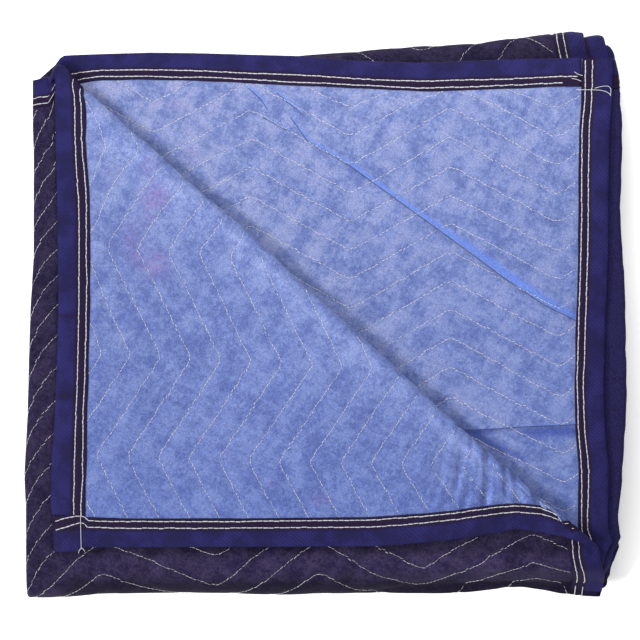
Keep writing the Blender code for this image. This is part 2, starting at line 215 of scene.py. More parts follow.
# small creases of the turned corner, rows as in OPEN_CREASES; paint also lays painted shade along them
FLAP_CREASES = (
    (-196.3, 41.6, -175.1, 40.8, 1.5, -0.5),
    (-190.4, 28.9, -152.2, 30.6, 1.5, -0.5),
    (-177.7, 17.0, -145.3, 15.3, 1.6, -0.7),
    (-200.6, 4.2, -169.2, 6.8, 1.6, -0.8),
    (-152.2, -0.8, -122.4, 4.2, 1.6, -0.8),
    (-226.0, 0.5, -200.6, 0.5, 1.6, -0.9),
    (-200.6, -4.2, -175.1, -2.5, 1.5, -0.8),
    (-101.1, -4.2, -81.6, 2.5, 1.5, -0.7),
    (-173.4, -11.9, -139.4, -5.1, 1.6, -0.8),
    (-107.1, -30.6, -92.6, -29.8, 1.5, -0.6),
    (-226.0, -66.3, -208.0, -66.3, 1.6, -0.9),
    (-226.0, 24.6, -208.0, 24.6, 1.5, -0.7),
)
# painted shade of creases across the turned corner's tapes: rows as in OPEN_CREASES, with a strength for
# height
TAPE_CREASE_SHADES = (
    (-228.0, 0.5, -203.0, 0.5, 1.8, 0.75),
    (-228.0, 24.6, -203.0, 24.6, 1.8, 0.60),
    (-228.0, -66.3, -203.0, -66.3, 1.8, 0.75),
    (106.0, -208.0, 104.5, -216.0, 1.3, 0.55),
    (124.0, -204.0, 134.0, -220.0, 1.4, 0.55),
    (155.0, -206.0, 157.0, -218.0, 1.4, 0.65),
)


def book_fold(length, pitch, insets):
    """Rows (start, run, across, height, heading, curvature) of a length folded twice in half.

    It starts at the far side on level +1.5 of the pitch, goes round the near side to level
    -1.5, round the far side to -0.5, and round the near side, inside the first bend, to +0.5.
    """
    leg = (length - 2.5 * math.pi * pitch + sum(insets)) / 4.0
    far = 0.5 * pitch + leg / 2.0
    outer, inner = 1.5 * pitch, 0.5 * pitch
    runs = (
        (leg - insets[0], 0.0),
        (math.pi * outer, 1.0 / outer),
        (leg, 0.0),
        (math.pi * inner, 1.0 / inner),
        (leg, 0.0),
        (math.pi * inner, -1.0 / inner),
        (leg - insets[1], 0.0),
    )
    rows = []
    start, across, height, heading = 0.0, far - insets[0], outer, math.pi
    for run, curvature in runs:
        rows.append((start, run, across, height, heading, curvature))
        turned = heading + curvature * run
        if curvature:
            across += (math.sin(turned) - math.sin(heading)) / curvature
            height -= (math.cos(turned) - math.cos(heading)) / curvature
        else:
            across += run * math.cos(heading)
        start, heading = start + run, turned
    return np.array(rows)


def follow(rows, along, offset):
    """Place = the row's start + the arc or straight walked from it + offset times its outer normal."""
    index = np.clip(np.searchsorted(rows[:, 0], along, side="right") - 1, 0, len(rows) - 1)
    start, _, across, height, heading, curvature = rows[index].T
    past = along - start
    turned = heading + curvature * past
    bent = curvature != 0.0
    divisor = np.where(bent, curvature, 1.0)
    step_across = np.where(bent, (np.sin(turned) - np.sin(heading)) / divisor, past * np.cos(heading))
    step_height = np.where(bent, -(np.cos(turned) - np.cos(heading)) / divisor, past * np.sin(heading))
    return across + step_across + offset * np.sin(turned), height + step_height - offset * np.cos(turned)


WIDTH_FOLD = book_fold(CLOTH_WIDTH, PITCH, END_INSETS)
DEPTH_FOLD = book_fold(CLOTH_DEPTH, SLAB, EDGE_INSETS)
END_A, NEAR_X, FAR_X = WIDTH_FOLD[0, 2], WIDTH_FOLD[1, 2], WIDTH_FOLD[3, 2]
EDGE_C, NEAR_Y, FAR_Y = DEPTH_FOLD[0, 2], DEPTH_FOLD[1, 2], DEPTH_FOLD[3, 2]
FIRST_U, RIM_U, LAST_U = WIDTH_FOLD[1, 0], WIDTH_FOLD[2, 0], WIDTH_FOLD[6, 0]
FIRST_V, RIM_V = DEPTH_FOLD[1, 0], DEPTH_FOLD[2, 0]
SECOND_END = NEAR_X + WIDTH_FOLD[6, 1]
FAR_BEND = DEPTH_FOLD[3, 0] + DEPTH_FOLD[3, 1] / 2.0
FLOOR = -1.5 * SLAB - 1.5 * PITCH - PLY / 2.0
TOP_PLY = 1.5 * (SLAB + PITCH) - FLOOR
HALF_WIDTH = (FAR_X - NEAR_X + 2.0 * PITCH + PLY) / 2.0
HALF_DEPTH = (FAR_Y - NEAR_Y + 2.0 * SLAB + 3.0 * PITCH + PLY) / 2.0


# ------------------------------------------------------------------------------- small formulas
def smooth(t):
    """0 below 0, 1 above 1, and the S curve 3 t^2 - 2 t^3 between."""
    t = np.clip(t, 0.0, 1.0)
    return t * t * (3.0 - 2.0 * t)


def ramp(value, start, length):
    """0 up to start, 1 from start + length on, and an S curve between."""
    return smooth((value - start) / length)


def bell(value, middle, width):
    """exp(-((value - middle) / width)^2): 1 at the middle, dying away on both sides."""
    return np.exp(-(((value - middle) / width) ** 2))


def fade(value, start, length):
    """1 up to start, then exp(-(value - start) / length)."""
    return np.exp(-np.maximum(value - start, 0.0) / length)


def between(first, last, share):
    return first + (last - first) * share


def far_share(place, half):
    """Share of a side's shift that a place takes: 0 up to 3/8 of the way across, then an S to 1."""
    return smooth((place + half) / (2.0 * half) * 1.6 - 0.6)


def ripple(x, y, seed, length, count=7):
    """Sum of count sine waves of about the given length, in fixed but scattered directions."""
    rng = np.random.default_rng(seed)
    total = np.zeros(np.broadcast(x, y).shape)
    for _ in range(count):
        angle, start = rng.uniform(0.0, 2.0 * math.pi, 2)
        wave = 2.0 * math.pi / (length * rng.uniform(0.7, 1.5))
        total += np.sin(wave * (x * math.cos(angle) + y * math.sin(angle)) + start)
    return total / math.sqrt(count)


def zigzag(table, place, round_off=0.0):
    """Straight lines between the rows of a table in millimetres, with their corners rounded off."""
    rows = np.array(sorted(table)) * MM
    steps = np.linspace(-1.0, 1.0, 5)
    return sum(np.interp(place + step * round_off, rows[:, 0], rows[:, 1]) for step in steps) / len(steps)


def soft_table(table, place, blur=0.004):
    """Value of a table of (place, value) in millimetres, rounded off between its rows."""
    rows = np.array(sorted(table)) * MM
    steps = np.linspace(-1.0, 1.0, 5)
    weights = 1.0 - np.abs(steps) * 0.6
    values = [w * np.interp(place + blur * s, rows[:, 0], rows[:, 1]) for s, w in zip(steps, weights)]
    return sum(values) / weights.sum()


def ridges(x, y, table):
    """Sum of ridges: each is a bell across its line that tapers to nothing at its two ends."""
    total = np.zeros(np.broadcast(x, y).shape)
    for x0, y0, x1, y1, half_width, height in np.array(table) * MM:
        run_x, run_y = x1 - x0, y1 - y0
        length = math.hypot(run_x, run_y)
        along = ((x - x0) * run_x + (y - y0) * run_y) / length
        across = ((x - x0) * run_y - (y - y0) * run_x) / length
        taper = ramp(along, -0.006, 0.012) * ramp(length - along, -0.006, 0.012)
        total += height * taper * bell(across, 0.0, half_width)
    return total


def tuck_terms(x, y, table):
    """Signed distance from a tuck's line, and the nearest point's height, slope and strip."""
    nearest = np.full(np.broadcast(x, y).shape, 1.0)
    signed = np.full(nearest.shape, 1.0)
    values = np.zeros((3,) + nearest.shape)
    rows = np.array(table) * MM
    for first, last in zip(rows[:-1], rows[1:]):
        run_x, run_y = last[:2] - first[:2]
        squared = run_x**2 + run_y**2
        along = np.clip(((x - first[0]) * run_x + (y - first[1]) * run_y) / squared, 0.0, 1.0)
        away = np.hypot(x - first[0] - along * run_x, y - first[1] - along * run_y)
        side = np.sign((y - first[1]) * run_x - (x - first[0]) * run_y)
        closer = away < nearest
        nearest = np.where(closer, away, nearest)
        signed = np.where(closer, away * side, signed)
        here = first[2:, None] + (last - first)[2:, None] * along.ravel()
        values = np.where(closer, here.reshape(values.shape), values)
    to_ends = [np.hypot(x - end[0], y - end[1]) for end in (rows[0], rows[-1])]
    return signed, values[0] * ramp(np.minimum(*to_ends), 0.0, 0.005), values[1], values[2]


def tuck_height(x, y, table):
    """A lap stands steep at its foot and dies away behind it: height * exp(-(distance / slope))."""
    foot, steep, least_slope = -0.0002, 0.0006, 0.001
    signed, lap, slope, _ = tuck_terms(x, y, table)
    behind = fade(signed, 0.0, np.maximum(slope, least_slope))
    return lap * np.where(signed > foot, behind, bell(signed, foot, steep))


def satin_folds(x, y):
    """Fine upright folds of the gathered end of the turned corner, in an oval that they fade out of.

    Three waves of 12.5, 7.4 and 20 mm run across x and fan out towards the front. Their sum is
    multiplied by exp(-r^3), r being the distance from the oval's middle as a share of its radius.
    """
    height, middle_x, middle_y = 0.00120, 0.150, -0.130
    turns = 2.0 * math.pi * (x + 4.4 * (y + 0.117) * (x - middle_x))
    waves = np.sin(turns / 0.0125 + 1.5 * np.sin(y * 60.0))
    waves += 0.8 * np.sin(turns / 0.0074 + 1.0) + 0.9 * np.sin(turns / 0.0200)
    oval = ((x - middle_x) / 0.062) ** 2 + ((y - middle_y) / 0.055) ** 2
    return height * waves * np.exp(-(oval**1.5))


def round_left_rim(x):
    """Spread the left fold over a wider roll: edge + t0 * (2 s^2 - s^3), where s is the share of t0."""
    reach, edge = 0.024, -HALF_WIDTH
    share = np.clip((x - edge) / reach, 0.0, 1.0)
    return np.where(x < edge + reach, edge + reach * (2.0 * share**2 - share**3), x)


# ------------------------------------------------------------------------- the turned corner
def open_place(u, v):
    """Where a flat place of the second ply lies in the stack before it is shaped."""
    return NEAR_X + u - LAST_U, EDGE_C - v


def open_flat(x, y):
    """The cloth's (u, v) under a place on the second ply: open_place solved backwards."""
    return LAST_U + x - NEAR_X, EDGE_C - y


def crease_frame():
    """Start of the crease, its direction, and the direction from it to the turned corner."""
    start = np.array(CREASE_START)
    run = np.array(CREASE_END) - start
    direction = run / np.linalg.norm(run)
    return start, direction, np.array((-direction[1], direction[0]))


def crease_terms():
    """How far the turned corner is skewed along the crease and squeezed across it."""
    start, direction, away = crease_frame()
    corner = np.array((END_A, EDGE_C)) - start
    rest = np.array(FLAP_CORNER) - start
    skew = (rest @ direction - corner @ direction) / (corner @ away)
    return skew, -(rest @ away) / (corner @ away - math.pi * ROLL)


CREASE_SKEW, CREASE_SQUEEZE = crease_terms()
ROLL_TOP = math.pi * ROLL * 0.7  # stitches show from this far past the crease, high on its roll


def crease_place(x, y):
    """Distance along the crease from its start, and distance from it towards the turned corner."""
    start, direction, away = crease_frame()
    return tuple((x - start[0]) * axis[0] + (y - start[1]) * axis[1] for axis in (direction, away))


def past_crease(x, y):
    """Distance from the crease towards the corner that is turned back."""
    return crease_place(x, y)[1]


def from_crease(along, across):
    """The x and y of a crease_place."""
    start, direction, away = crease_frame()
    return tuple(start[i] + along * direction[i] + across * away[i] for i in (0, 1))


def turn_corner(x, y, w):
    """Roll what lies past the crease round a half circle, then lay it back, skewed and squeezed."""
    along, past = crease_place(x, y)
    angle = np.clip(past / ROLL, 0.0, math.pi)
    across = (ROLL - w) * np.sin(angle) - CREASE_SQUEEZE * np.maximum(past - math.pi * ROLL, 0.0)
    height = TOP_PLY + ROLL - (ROLL - w) * np.cos(angle)
    height = height - SETTLE * (1.0 - fade(past, math.pi * ROLL * 0.9, 0.017))
    return (*from_crease(along + CREASE_SKEW * past, across), height)


def unturn(x, y):
    """The cloth's (u, v) under a place on the turned corner: turn_corner solved backwards."""
    along, across = crease_place(x, y)
    past = math.pi * ROLL - across / CREASE_SQUEEZE
    flat_x, flat_y = from_crease(along - CREASE_SKEW * past, past)
    return END_A - flat_x, EDGE_C - flat_y


def pull_bindings(x, y, u, v):
    """Move the turned corner's two bindings: one share at their edges, another at their rows.

    The pull stops within 25 mm past the left tape, and dies away as a bell past the front one.
    """
    tape_end = TAPE_WIDTH - 0.002
    side = between(zigzag(SIDE_EDGE, y), zigzag(SIDE_ROWS, y), np.clip(v / ROWS_MIDDLE, 0.0, 1.2))
    side = side * (1.0 - ramp(v, tape_end, 0.025))
    front = between(zigzag(GATHERED_EDGE, x), zigzag(GATHERED_ROWS, x), np.clip(u / ROWS_MIDDLE, 0.0, 1.2))
    front = front * bell(np.maximum(u, tape_end), tape_end, 0.055)
    return x + side, y + front


def ease_top(x, y):
    """Draw the top ply in at the right, and bow its crease back towards the turned corner."""
    drawn = far_share(x, HALF_WIDTH) * (soft_table(TOP_RIGHT_OUTLINE, y) - END_A - TAPE_OUT)
    away = crease_frame()[2]
    along, past = crease_place(x, y)
    bow = soft_table(CREASE_BOW, along) * bell(past, 0.0, 0.07)
    bow = bow * ramp(y, FLAP_CORNER[1], 0.055) * ramp(x, NEAR_X, 0.04)
    return x + drawn + bow * away[0], y + bow * away[1]


def ease_back(x, y):
    """Places that ease_top carries to x and y: three rounds of taking its error away."""
    from_x, from_y = x, y
    for _ in range(3):
        moved_x, moved_y = ease_top(from_x, from_y)
        from_x, from_y = from_x + x - moved_x, from_y + y - moved_y
    return from_x, from_y


# ------------------------------------------------------------------------------ the whole stack
def shape_stack(x, y, z, top, second, laid):
    """Move the straight sides out to the outlines, and round the stack off towards its rims.

    Each side's shift is its outline less the side's straight place, times the share that a place
    takes of it. top and second are 1 on the top and the second ply, which have edges of their
    own, and laid is 1 on the turned corner, which lies free of the stack's outline.
    """
    x = round_left_rim(x)
    past_left_fold = ramp(x, -0.235, 0.05)
    left = -soft_table(LEFT_OUTLINE, y) - HALF_WIDTH
    left_share = between(far_share(-x, HALF_WIDTH), ramp(-x, 0.19, 0.05), second)
    right = soft_table(RIGHT_OUTLINE, y) - HALF_WIDTH
    second_right = soft_table(SECOND_RIGHT_OUTLINE, y) - SECOND_END - TAPE_OUT
    sideways = far_share(x, HALF_WIDTH) * right * (1.0 - top - second)
    sideways += ramp(x, 0.19, 0.04) * second_right * second - left_share * left * (1.0 - laid)
    front = -soft_table(FRONT_OUTLINE, x) - HALF_DEPTH
    upper_front = -soft_table(FRONT_UPPER_OUTLINE, x) - HALF_DEPTH
    front = between(front, upper_front, ramp(z, -FLOOR - 0.0025, 0.005))
    upper_plies = past_left_fold * np.minimum(top + second, 1.0)
    front_share = between(far_share(-y, HALF_DEPTH), ramp(-y, 0.208, 0.026), upper_plies)
    upper = soft_table(BACK_UPPER_OUTLINE, x, 0.0015) - EDGE_C - TAPE_OUT
    lower = soft_table(BACK_LOWER_OUTLINE, x) - HALF_DEPTH
    back = ramp(y, 0.2 * HALF_DEPTH, 0.8 * HALF_DEPTH) * np.where(z > -FLOOR, upper, lower)
    bound = between(soft_table(BACK_ROWS, x) * ramp(y, 0.178, 0.024), upper, ramp(y, 0.2021, 0.0234))
    back = between(back, bound, second * past_left_fold)
    rim = ramp(-x, 0.205, 0.05) + ramp(-y, 0.180, 0.06) + 0.5 * ramp(y, 0.16, 0.08)
    sag = 0.015 * ((x / HALF_WIDTH) ** 2 + (y / HALF_DEPTH) ** 2) + 0.035 * rim
    wander = 0.0016 * ripple(x, y, 3, 0.16) * (z / TOP_PLY)
    return x + sideways, y + back - front_share * front * (1.0 - laid), z * (1.0 - sag) + wander


def lay_in_stack(u, v, w):
    """Both folds, then the turned corner, then creases and the shaping of the stack."""
    x, level = follow(WIDTH_FOLD, u, w)
    y, height = follow(DEPTH_FOLD, v, level)
    z = height - FLOOR
    upper_quarter = v < FIRST_V + TINY
    past = past_crease(x, y)
    turned = (u < FIRST_U) & upper_quarter & (past > 0.0)
    corner = turn_corner(x, y, w)
    x, y, z = (np.where(turned, a, b) for a, b in zip(corner, (x, y, z)))
    opened = (u > LAST_U - TINY) & upper_quarter
    waves = 0.0005 * (ripple(x, y, 11, 0.060) + ripple(x, y, 13, 0.022, 9) * 0.3)
    relief = ridges(x, y, OPEN_CREASES) + waves + sum(tuck_height(x, y, table) for table in TUCKS)
    clear_of_crease = ramp(past_crease(x, y), 0.002, 0.008)
    z = z + np.where(opened, clear_of_crease * (relief + OPEN_LIFT), 0.0)
    relief = ridges(x, y, FLAP_CREASES) + satin_folds(x, y) + 0.0004 * ripple(x, y, 12, 0.055)
    z = z + np.where(turned, ramp(past, math.pi * ROLL, 0.010) * (relief + OPEN_LIFT), 0.0)
    beside = np.maximum(-past_crease(x, y), 0.0)
    laid = turned * beside / (beside + 0.0040)
    pulled_x, pulled_y = pull_bindings(x, y, u, v)
    x, y = between(x, pulled_x, laid), between(y, pulled_y, laid)
    x = x - BACK_DRAW * smooth((0.15 - u) / 0.13) * smooth((0.11 - np.abs(v - FAR_BEND)) / 0.08)
    top = (u < FIRST_U) * smooth((RIM_V - v) / (RIM_V - FIRST_V) * 1.4)
    second = (u > LAST_U) * smooth((FIRST_V - v) / 0.030)
    x, y = (between(place, eased, top) for place, eased in zip((x, y), ease_top(x, y)))
    x, y, z = shape_stack(x, y, z, top, second, turned * ramp(beside, 0.0, 0.03))
    return np.stack((x - STACK_MIDDLE[0], y - STACK_MIDDLE[1], z), axis=-1)


# --------------------------------------------------------------------------------- the quilting
def seam_wander(x, y):
    """How far a seam strays from its zigzag: slow waves of half a millimetre."""
    return 0.0005 * ripple(x, y, 21, 0.080, 5)


def open_seam_line(x, y):
    """The second ply's zigzag, whose last valley drifts to the right further down the ply."""
    drift = 0.026 * (0.184 - y) * ramp(x, 0.10, 0.10)
    lowered = 0.0022 * ramp(-y, 0.02, 0.05) * ramp(x, 0.03, 0.05)
    return zigzag(OPEN_SEAM, x - drift, 0.003 + 0.004 * ramp(x, 0.14, 0.05)) - lowered


def flap_seam_line(x, y):
    """The turned corner's zigzag, whose corners lie lower on the seams further to the right."""
    tilt = np.clip(0.0335 + 0.242 * (y + 0.123), 0.0, 0.08)
    return zigzag(FLAP_SEAM, y + tilt * (x + 0.190), 0.003)


def outer_seam_line(x):
    """The dark face's zigzag, in flat coordinates that are turned to run as the stack's do."""
    return zigzag(OUTER_SEAM, x, 0.005)


def seam_phase(u, v):
    """Count of zigzag seams passed: whole numbers lie on a seam. One pattern for each zone."""
    flat_x, flat_y = END_A - u, EDGE_C - v
    outer = (flat_y - outer_seam_line(flat_x)) / (OUTER_SEAM_PITCH * MM)
    outer = outer + zigzag(OUTER_DRIFT, flat_y)
    open_x, _ = open_place(u, v)
    opened = flat_y - open_seam_line(open_x, flat_y) - seam_wander(open_x, flat_y)
    opened = opened / (OPEN_SEAM_PITCH * MM)
    x, y, _ = turn_corner(flat_x, flat_y, 0.0)
    x, y = ease_top(x, y)
    flap = (x - flap_seam_line(x, y) - seam_wander(x, y)) / (FLAP_SEAM_PITCH * MM)
    in_flap = (u < FIRST_U) & (v < FIRST_V) & (past_crease(flat_x, flat_y) > 0.0)
    return np.where(in_flap, flap, np.where(u > LAST_U - TINY, opened, outer))


def half_thickness(u, v, groove):
    """Half the quilt's thickness: drawn in by the seams, puffed between them, pressed in the hem.

    A seam draws the face in by the groove over 2.4 mm, and by three tenths of it over 7 mm.
    """
    phase = seam_phase(u, v)
    reach = np.abs(phase - np.round(phase)) * OUTER_SEAM_PITCH * MM * SEAM_SLOPE
    drawn = bell(reach, 0.0, 0.0024) + 0.3 * bell(reach, 0.0, 0.0070)
    full = PLY / 2.0 + 0.0001 - groove * drawn
    inwards = np.minimum(np.minimum(u, CLOTH_WIDTH - u), np.minimum(v, CLOTH_DEPTH - v))
    hem = HEM / 2.0 - CRUSH * ramp(v, 0.36, 0.02) * (u < HEM_END) * (v < FIRST_V + 0.02)
    return between(hem, full, ramp(inwards, HEM_END, HEM_SLOPE))


# ------------------------------------------------------------------------------- mesh building
@contextmanager
def editing(mesh):
    """Opens a mesh for bmesh's operators, and writes it back at the end."""
    bm = bmesh.new()
    bm.from_mesh(mesh)
    yield bm
    bm.to_mesh(mesh)
    bm.free()


def flat_places(mesh):
    flat = np.empty(len(mesh.vertices) * 3)
    mesh.vertices.foreach_get("co", flat)
    return flat.reshape(-1, 3)


def set_places(mesh, places):
    mesh.vertices.foreach_set("co", places.astype(np.float32).ravel())
    mesh.update()


def set_uv(mesh, uv):
    """Gives each corner its vertex's (u, v), and returns the vertex of each corner."""
    layer = mesh.uv_layers.new(name="cloth")
    corners = np.empty(len(mesh.loops), dtype=np.int32)
    mesh.loops.foreach_get("vertex_index", corners)
    layer.data.foreach_set("uv", np.asarray(uv, dtype=np.float32)[corners].ravel())
    return corners


def set_mask(mesh, name, values):
    """Keeps one value for each vertex under a name that a material can read."""
    mask = mesh.attributes.new(name, "FLOAT", "POINT")
    mask.data.foreach_set("value", values.astype(np.float32))


def new_object(name, verts, faces, uv=None):
    """A mesh object in the scene, with a (u, v) for each vertex if they are given."""
    mesh = bpy.data.meshes.new(name)
    mesh.from_pydata(verts, [], faces)
    if uv is not None:
        set_uv(mesh, uv)
    item = bpy.data.objects.new(name, mesh)
    bpy.context.scene.collection.objects.link(item)
    return item


def carried_faces(count, width):
    """Quads of a closed ring of width points carried over count places, with an index for caps."""
    index = np.arange(count * width).reshape(count, width)
    a, b = index[:-1], index[1:]
    quads = np.stack((a, b, np.roll(b, -1, axis=1), np.roll(a, -1, axis=1)), axis=-1).reshape(-1, 4)
    return quads.tolist() + [index[0].tolist(), index[-1, ::-1].tolist()]


def spread(rows, leg_steps, bend_steps):
    """Places along a fold: each leg and bend cut evenly into its own number of steps."""
    places = []
    steps = np.empty(len(leg_steps) + len(bend_steps), dtype=int)
    steps[0::2], steps[1::2] = leg_steps, bend_steps
    for (start, run), count in zip(rows[:, :2], steps):
        places.append(start + run * np.arange(count) / count)
    return np.append(np.concatenate(places), rows[-1, 0] + rows[-1, 1])


def sheet_faces(keep):
    """Faces of a closed sheet over the kept cells: outer face, inner face, and walls round them."""
    cells_u, cells_v = keep.shape
    index = np.arange((cells_u + 1) * (cells_v + 1)).reshape(cells_u + 1, cells_v + 1)
    below = index + index.size
    a, b, c, d = index[:-1, :-1], index[1:, :-1], index[1:, 1:], index[:-1, 1:]
    e, f, g, h = below[:-1, :-1], below[1:, :-1], below[1:, 1:], below[:-1, 1:]
    padded = np.pad(keep, 1)
    walls = (
        (keep & ~padded[:-2, 1:-1], (a, d, h, e)),
        (keep & ~padded[2:, 1:-1], (c, b, f, g)),
        (keep & ~padded[1:-1, :-2], (b, a, e, f)),
        (keep & ~padded[1:-1, 2:], (d, c, g, h)),
    )
    outer = np.stack((a, b, c, d), axis=-1)[keep]
    inner = np.stack((e, h, g, f), axis=-1)[keep]
    sides = [np.stack(corners, axis=-1)[where] for where, corners in walls]
    return outer, inner, np.concatenate(sides)


def cut_lines(mesh, lines):
    """Cut a flat mesh along lines (place, normal, reach), each only within reach of its place."""
    beside = 0.006
    with editing(mesh) as bm:
        for place, normal, reach in lines:
            place, normal = Vector((*place, 0.0)), Vector((*normal, 0.0))
            faces = bm.faces[:]
            if reach:
                centres = np.array([face.calc_center_median()[:] for face in faces]) - np.array(place)
                near = (np.hypot(*centres.T[:2]) < reach) & (np.abs(centres @ np.array(normal)) < beside)
                faces = [faces[index] for index in np.flatnonzero(near)]
            edges = list({edge for face in faces for edge in face.edges})
            verts = list({vert for face in faces for vert in face.verts})
            geom = verts + edges + faces
            bmesh.ops.bisect_plane(bm, geom=geom, dist=TINY, plane_co=place, plane_no=normal)


def crease_lines(steps=8):
    """Lines across the flat cloth from the start of the crease's roll to its end."""
    start, _, away = crease_frame()
    places = [start + away * math.pi * ROLL * step / steps for step in range(steps + 1)]
    return [((END_A - place[0], EDGE_C - place[1]), away, 0.0) for place in places]


def tuck_lines(table):
    """Three lines along each part of a tuck: its foot, the top of its lap and just behind it."""
    lines = []
    rows = np.array(table)[:, :2] * MM
    for start, end in zip(rows[:-1], rows[1:]):
        run = end - start
        normal = np.array((-run[1], run[0])) / np.linalg.norm(run)
        middle = (start + end) / 2.0
        for offset in (-0.0016, -0.0002, 0.0012):
            place = open_flat(*(middle + normal * offset))
            lines.append((place, (normal[0], -normal[1]), np.linalg.norm(run) / 2.0 + 0.003))
    return lines


def finish_piece(item, materials, node_names):
    """Gives a piece its materials, and says which CAD nodes it replaces."""
    for material in materials:
        item.data.materials.append(material)
    item.data.shade_smooth()
    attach(item, "root")
    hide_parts(*node_names)


def build_sheet(name, u_places, v_places, keep, lines, groove):
    """A region of the quilt as a closed sheet, its outer face dark and its inner face light."""
    grid_u, grid_v = np.meshgrid(u_places, v_places, indexing="ij")
    flat = np.stack((grid_u.ravel(), grid_v.ravel()), axis=-1)
    verts = np.concatenate((np.c_[flat, np.ones(len(flat))], np.c_[flat, -np.ones(len(flat))]))
    outer, inner, sides = sheet_faces(keep)
    item = new_object(name, verts.tolist(), np.concatenate((outer, inner, sides)).tolist())
    mesh = item.data
    with editing(mesh) as bm:
        bmesh.ops.delete(bm, geom=[vert for vert in bm.verts if not vert.link_faces], context="VERTS")
    if lines:
        cut_lines(mesh, lines)
    places = flat_places(mesh)
    u, v, side = places.T
    set_places(mesh, lay_in_stack(u, v, side * half_thickness(u, v, groove)))
    set_mask(mesh, "seam", seam_phase(u, v))
    corners = set_uv(mesh, places[:, :2])
    starts = np.empty(len(mesh.polygons), dtype=np.int32)
    mesh.polygons.foreach_get("loop_start", starts)
    sums = np.add.reduceat(side[corners], starts)
    mesh.polygons.foreach_set("material_index", (sums < -0.5).astype(np.int32))
    return item


def tape_section():
    """Closed outline (inwards, up, distance round) of a tape: two legs dipped along their seams."""
    legs = np.array((0.0, 0.6, 1.5, 3.0, 4.2, 6.0, 7.6, 9.0, 10.4, 13.0, 17.0, 21.0, 24.6)) * MM
    inwards = TAPE_WIDTH - legs
    up = PLY / 2.0 + 0.0001 + 0.00012 * np.sin(legs / TAPE_WIDTH * math.pi)
    for row in TAPE_ROWS:
        up = up - 0.00050 * bell(inwards, row, 0.0012)
    up[0] -= 0.0005
    nose = ((-0.0007, 0.0010), (-TAPE_OUT, 0.0), (-0.0007, -0.0010))
    clear = HEM / 2.0 + GAP
    bed = ((TAPE_WIDTH, -clear), (-GAP, -clear), (-GAP, clear), (TAPE_WIDTH, clear))
    outline = np.concatenate((np.c_[inwards, up], nose, np.c_[inwards[::-1], -up[::-1]], bed))
    steps = np.linalg.norm(np.diff(outline, axis=0, append=outline[:1]), axis=1)
    return np.c_[outline, np.concatenate(((0.0,), np.cumsum(steps)[:-1]))]


TAPE_EDGES = {
    # name: (runs along u, lies at the far end of its cross direction)
    "binding_top_end": (False, False),
    "binding_second_end": (False, True),
    "binding_back_edge": (True, False),
    "binding_hidden_edge": (True, True),
}


def edge_point(name, along, inwards):
    """Flat (u, v) of a place along an edge of the cloth, a distance inwards from it."""
    along_u, far = TAPE_EDGES[name]
    across = (CLOTH_DEPTH if along_u else CLOTH_WIDTH) - inwards if far else inwards
    return (along, across) if along_u else (across, along)


CROSSING = 0.045  # how far before the crease's crossing a tape starts to be changed by it


def crease_crossing(name):
    """How far along the turned corner's edge the crease crosses it."""
    return END_A - CREASE_START[0] if TAPE_EDGES[name][0] else EDGE_C - CREASE_END[1]


def tape_rise(name, along):
    """Height as a share of the flat tape's: 1.45 from 25 mm before the crease's crossing up to it."""
    if TAPE_EDGES[name][1]:
        return along * 0.0 + 1.0
    past = along - crease_crossing(name)
    return 1.0 + 0.45 * smooth((past + CROSSING) / 0.02) * smooth((0.02 - past) / 0.02)


def tape_stations(name):
    """Places along a tape: close together where the crease crosses it, and ends that butt neatly."""
    along_u, far = TAPE_EDGES[name]
    rows, steps = (WIDTH_FOLD, (120, 60, 60, 120)) if along_u else (DEPTH_FOLD, (110, 80, 60, 60))
    along = spread(rows, steps, (14, 10, 10))
    if not far:
        along = np.union1d(along, np.arange(crease_crossing(name) - CROSSING, rows[1, 0] - 0.0004, 0.0010))
    start = TAPE_WIDTH + GAP if along_u else -TAPE_OUT
    end = along[-1] - start
    return np.concatenate(((start,), along[(along > start + 0.001) & (along < end - 0.001)], (end,)))


def build_tape(name):
    """A U-shaped section carried along one edge of the cloth, closed at both ends."""
    along_u, far = TAPE_EDGES[name]
    along = tape_stations(name)
    section = tape_section()
    waver = 0.0002 * ripple(along, along * 0.0, 31 + len(name), 0.045, 5)[:, None]
    inwards = section[None, :, 0] + waver * (section[None, :, 0] > 0.010)
    stretch = np.repeat(along[:, None], len(section), axis=1)
    flat_u, flat_v = edge_point(name, stretch, inwards)
    up = section[None, :, 1] * tape_rise(name, along)[:, None]
    verts = np.stack((flat_u, flat_v, up), axis=-1).reshape(-1, 3)
    round_it = np.repeat(section[None, :, 2], len(along), axis=0)
    uv = np.stack((stretch, round_it), axis=-1).reshape(-1, 2)
    item = new_object(name + "_tape", verts.tolist(), carried_faces(len(along), len(section)), uv)
    with editing(item.data) as bm:
        bmesh.ops.recalc_face_normals(bm, faces=bm.faces)
    if not far:
        cut_lines(item.data, crease_lines())
    u, v, w = flat_places(item.data).T
    across = v if along_u else u
    inwards = np.minimum(across, (CLOTH_DEPTH if along_u else CLOTH_WIDTH) - across)
    sewn = ramp(inwards, TAPE_WIDTH - 0.0128, 0.0022)
    laid = lay_in_stack(u, v, w)
    # painted shade along the creases across the turned corner's tapes, kept in the sewn mask
    pressed = ridges(laid[:, 0] + STACK_MIDDLE[0], laid[:, 1] + STACK_MIDDLE[1], TAPE_CREASE_SHADES) / MM
    set_mask(item.data, "sewn", np.maximum(sewn, pressed * (laid[:, 2] > TOP_PLY)))
    set_places(item.data, laid)
    return item


# --------------------------------------------------------------------------------- the stitches
def walk(points, step, fill):
    """Starts and ends of stitches of the given step along a polyline of flat (u, v) points."""
    runs = np.linalg.norm(np.diff(points, axis=0), axis=1)
    reach = np.concatenate(((0.0,), np.cumsum(runs)))
    starts = np.arange(step * 0.3, reach[-1] - step, step)
    ends = starts + step * fill

    def at(places):
        return np.stack([np.interp(places, reach, points[:, axis]) for axis in (0, 1)], axis=-1)

    return at(starts), at(ends)


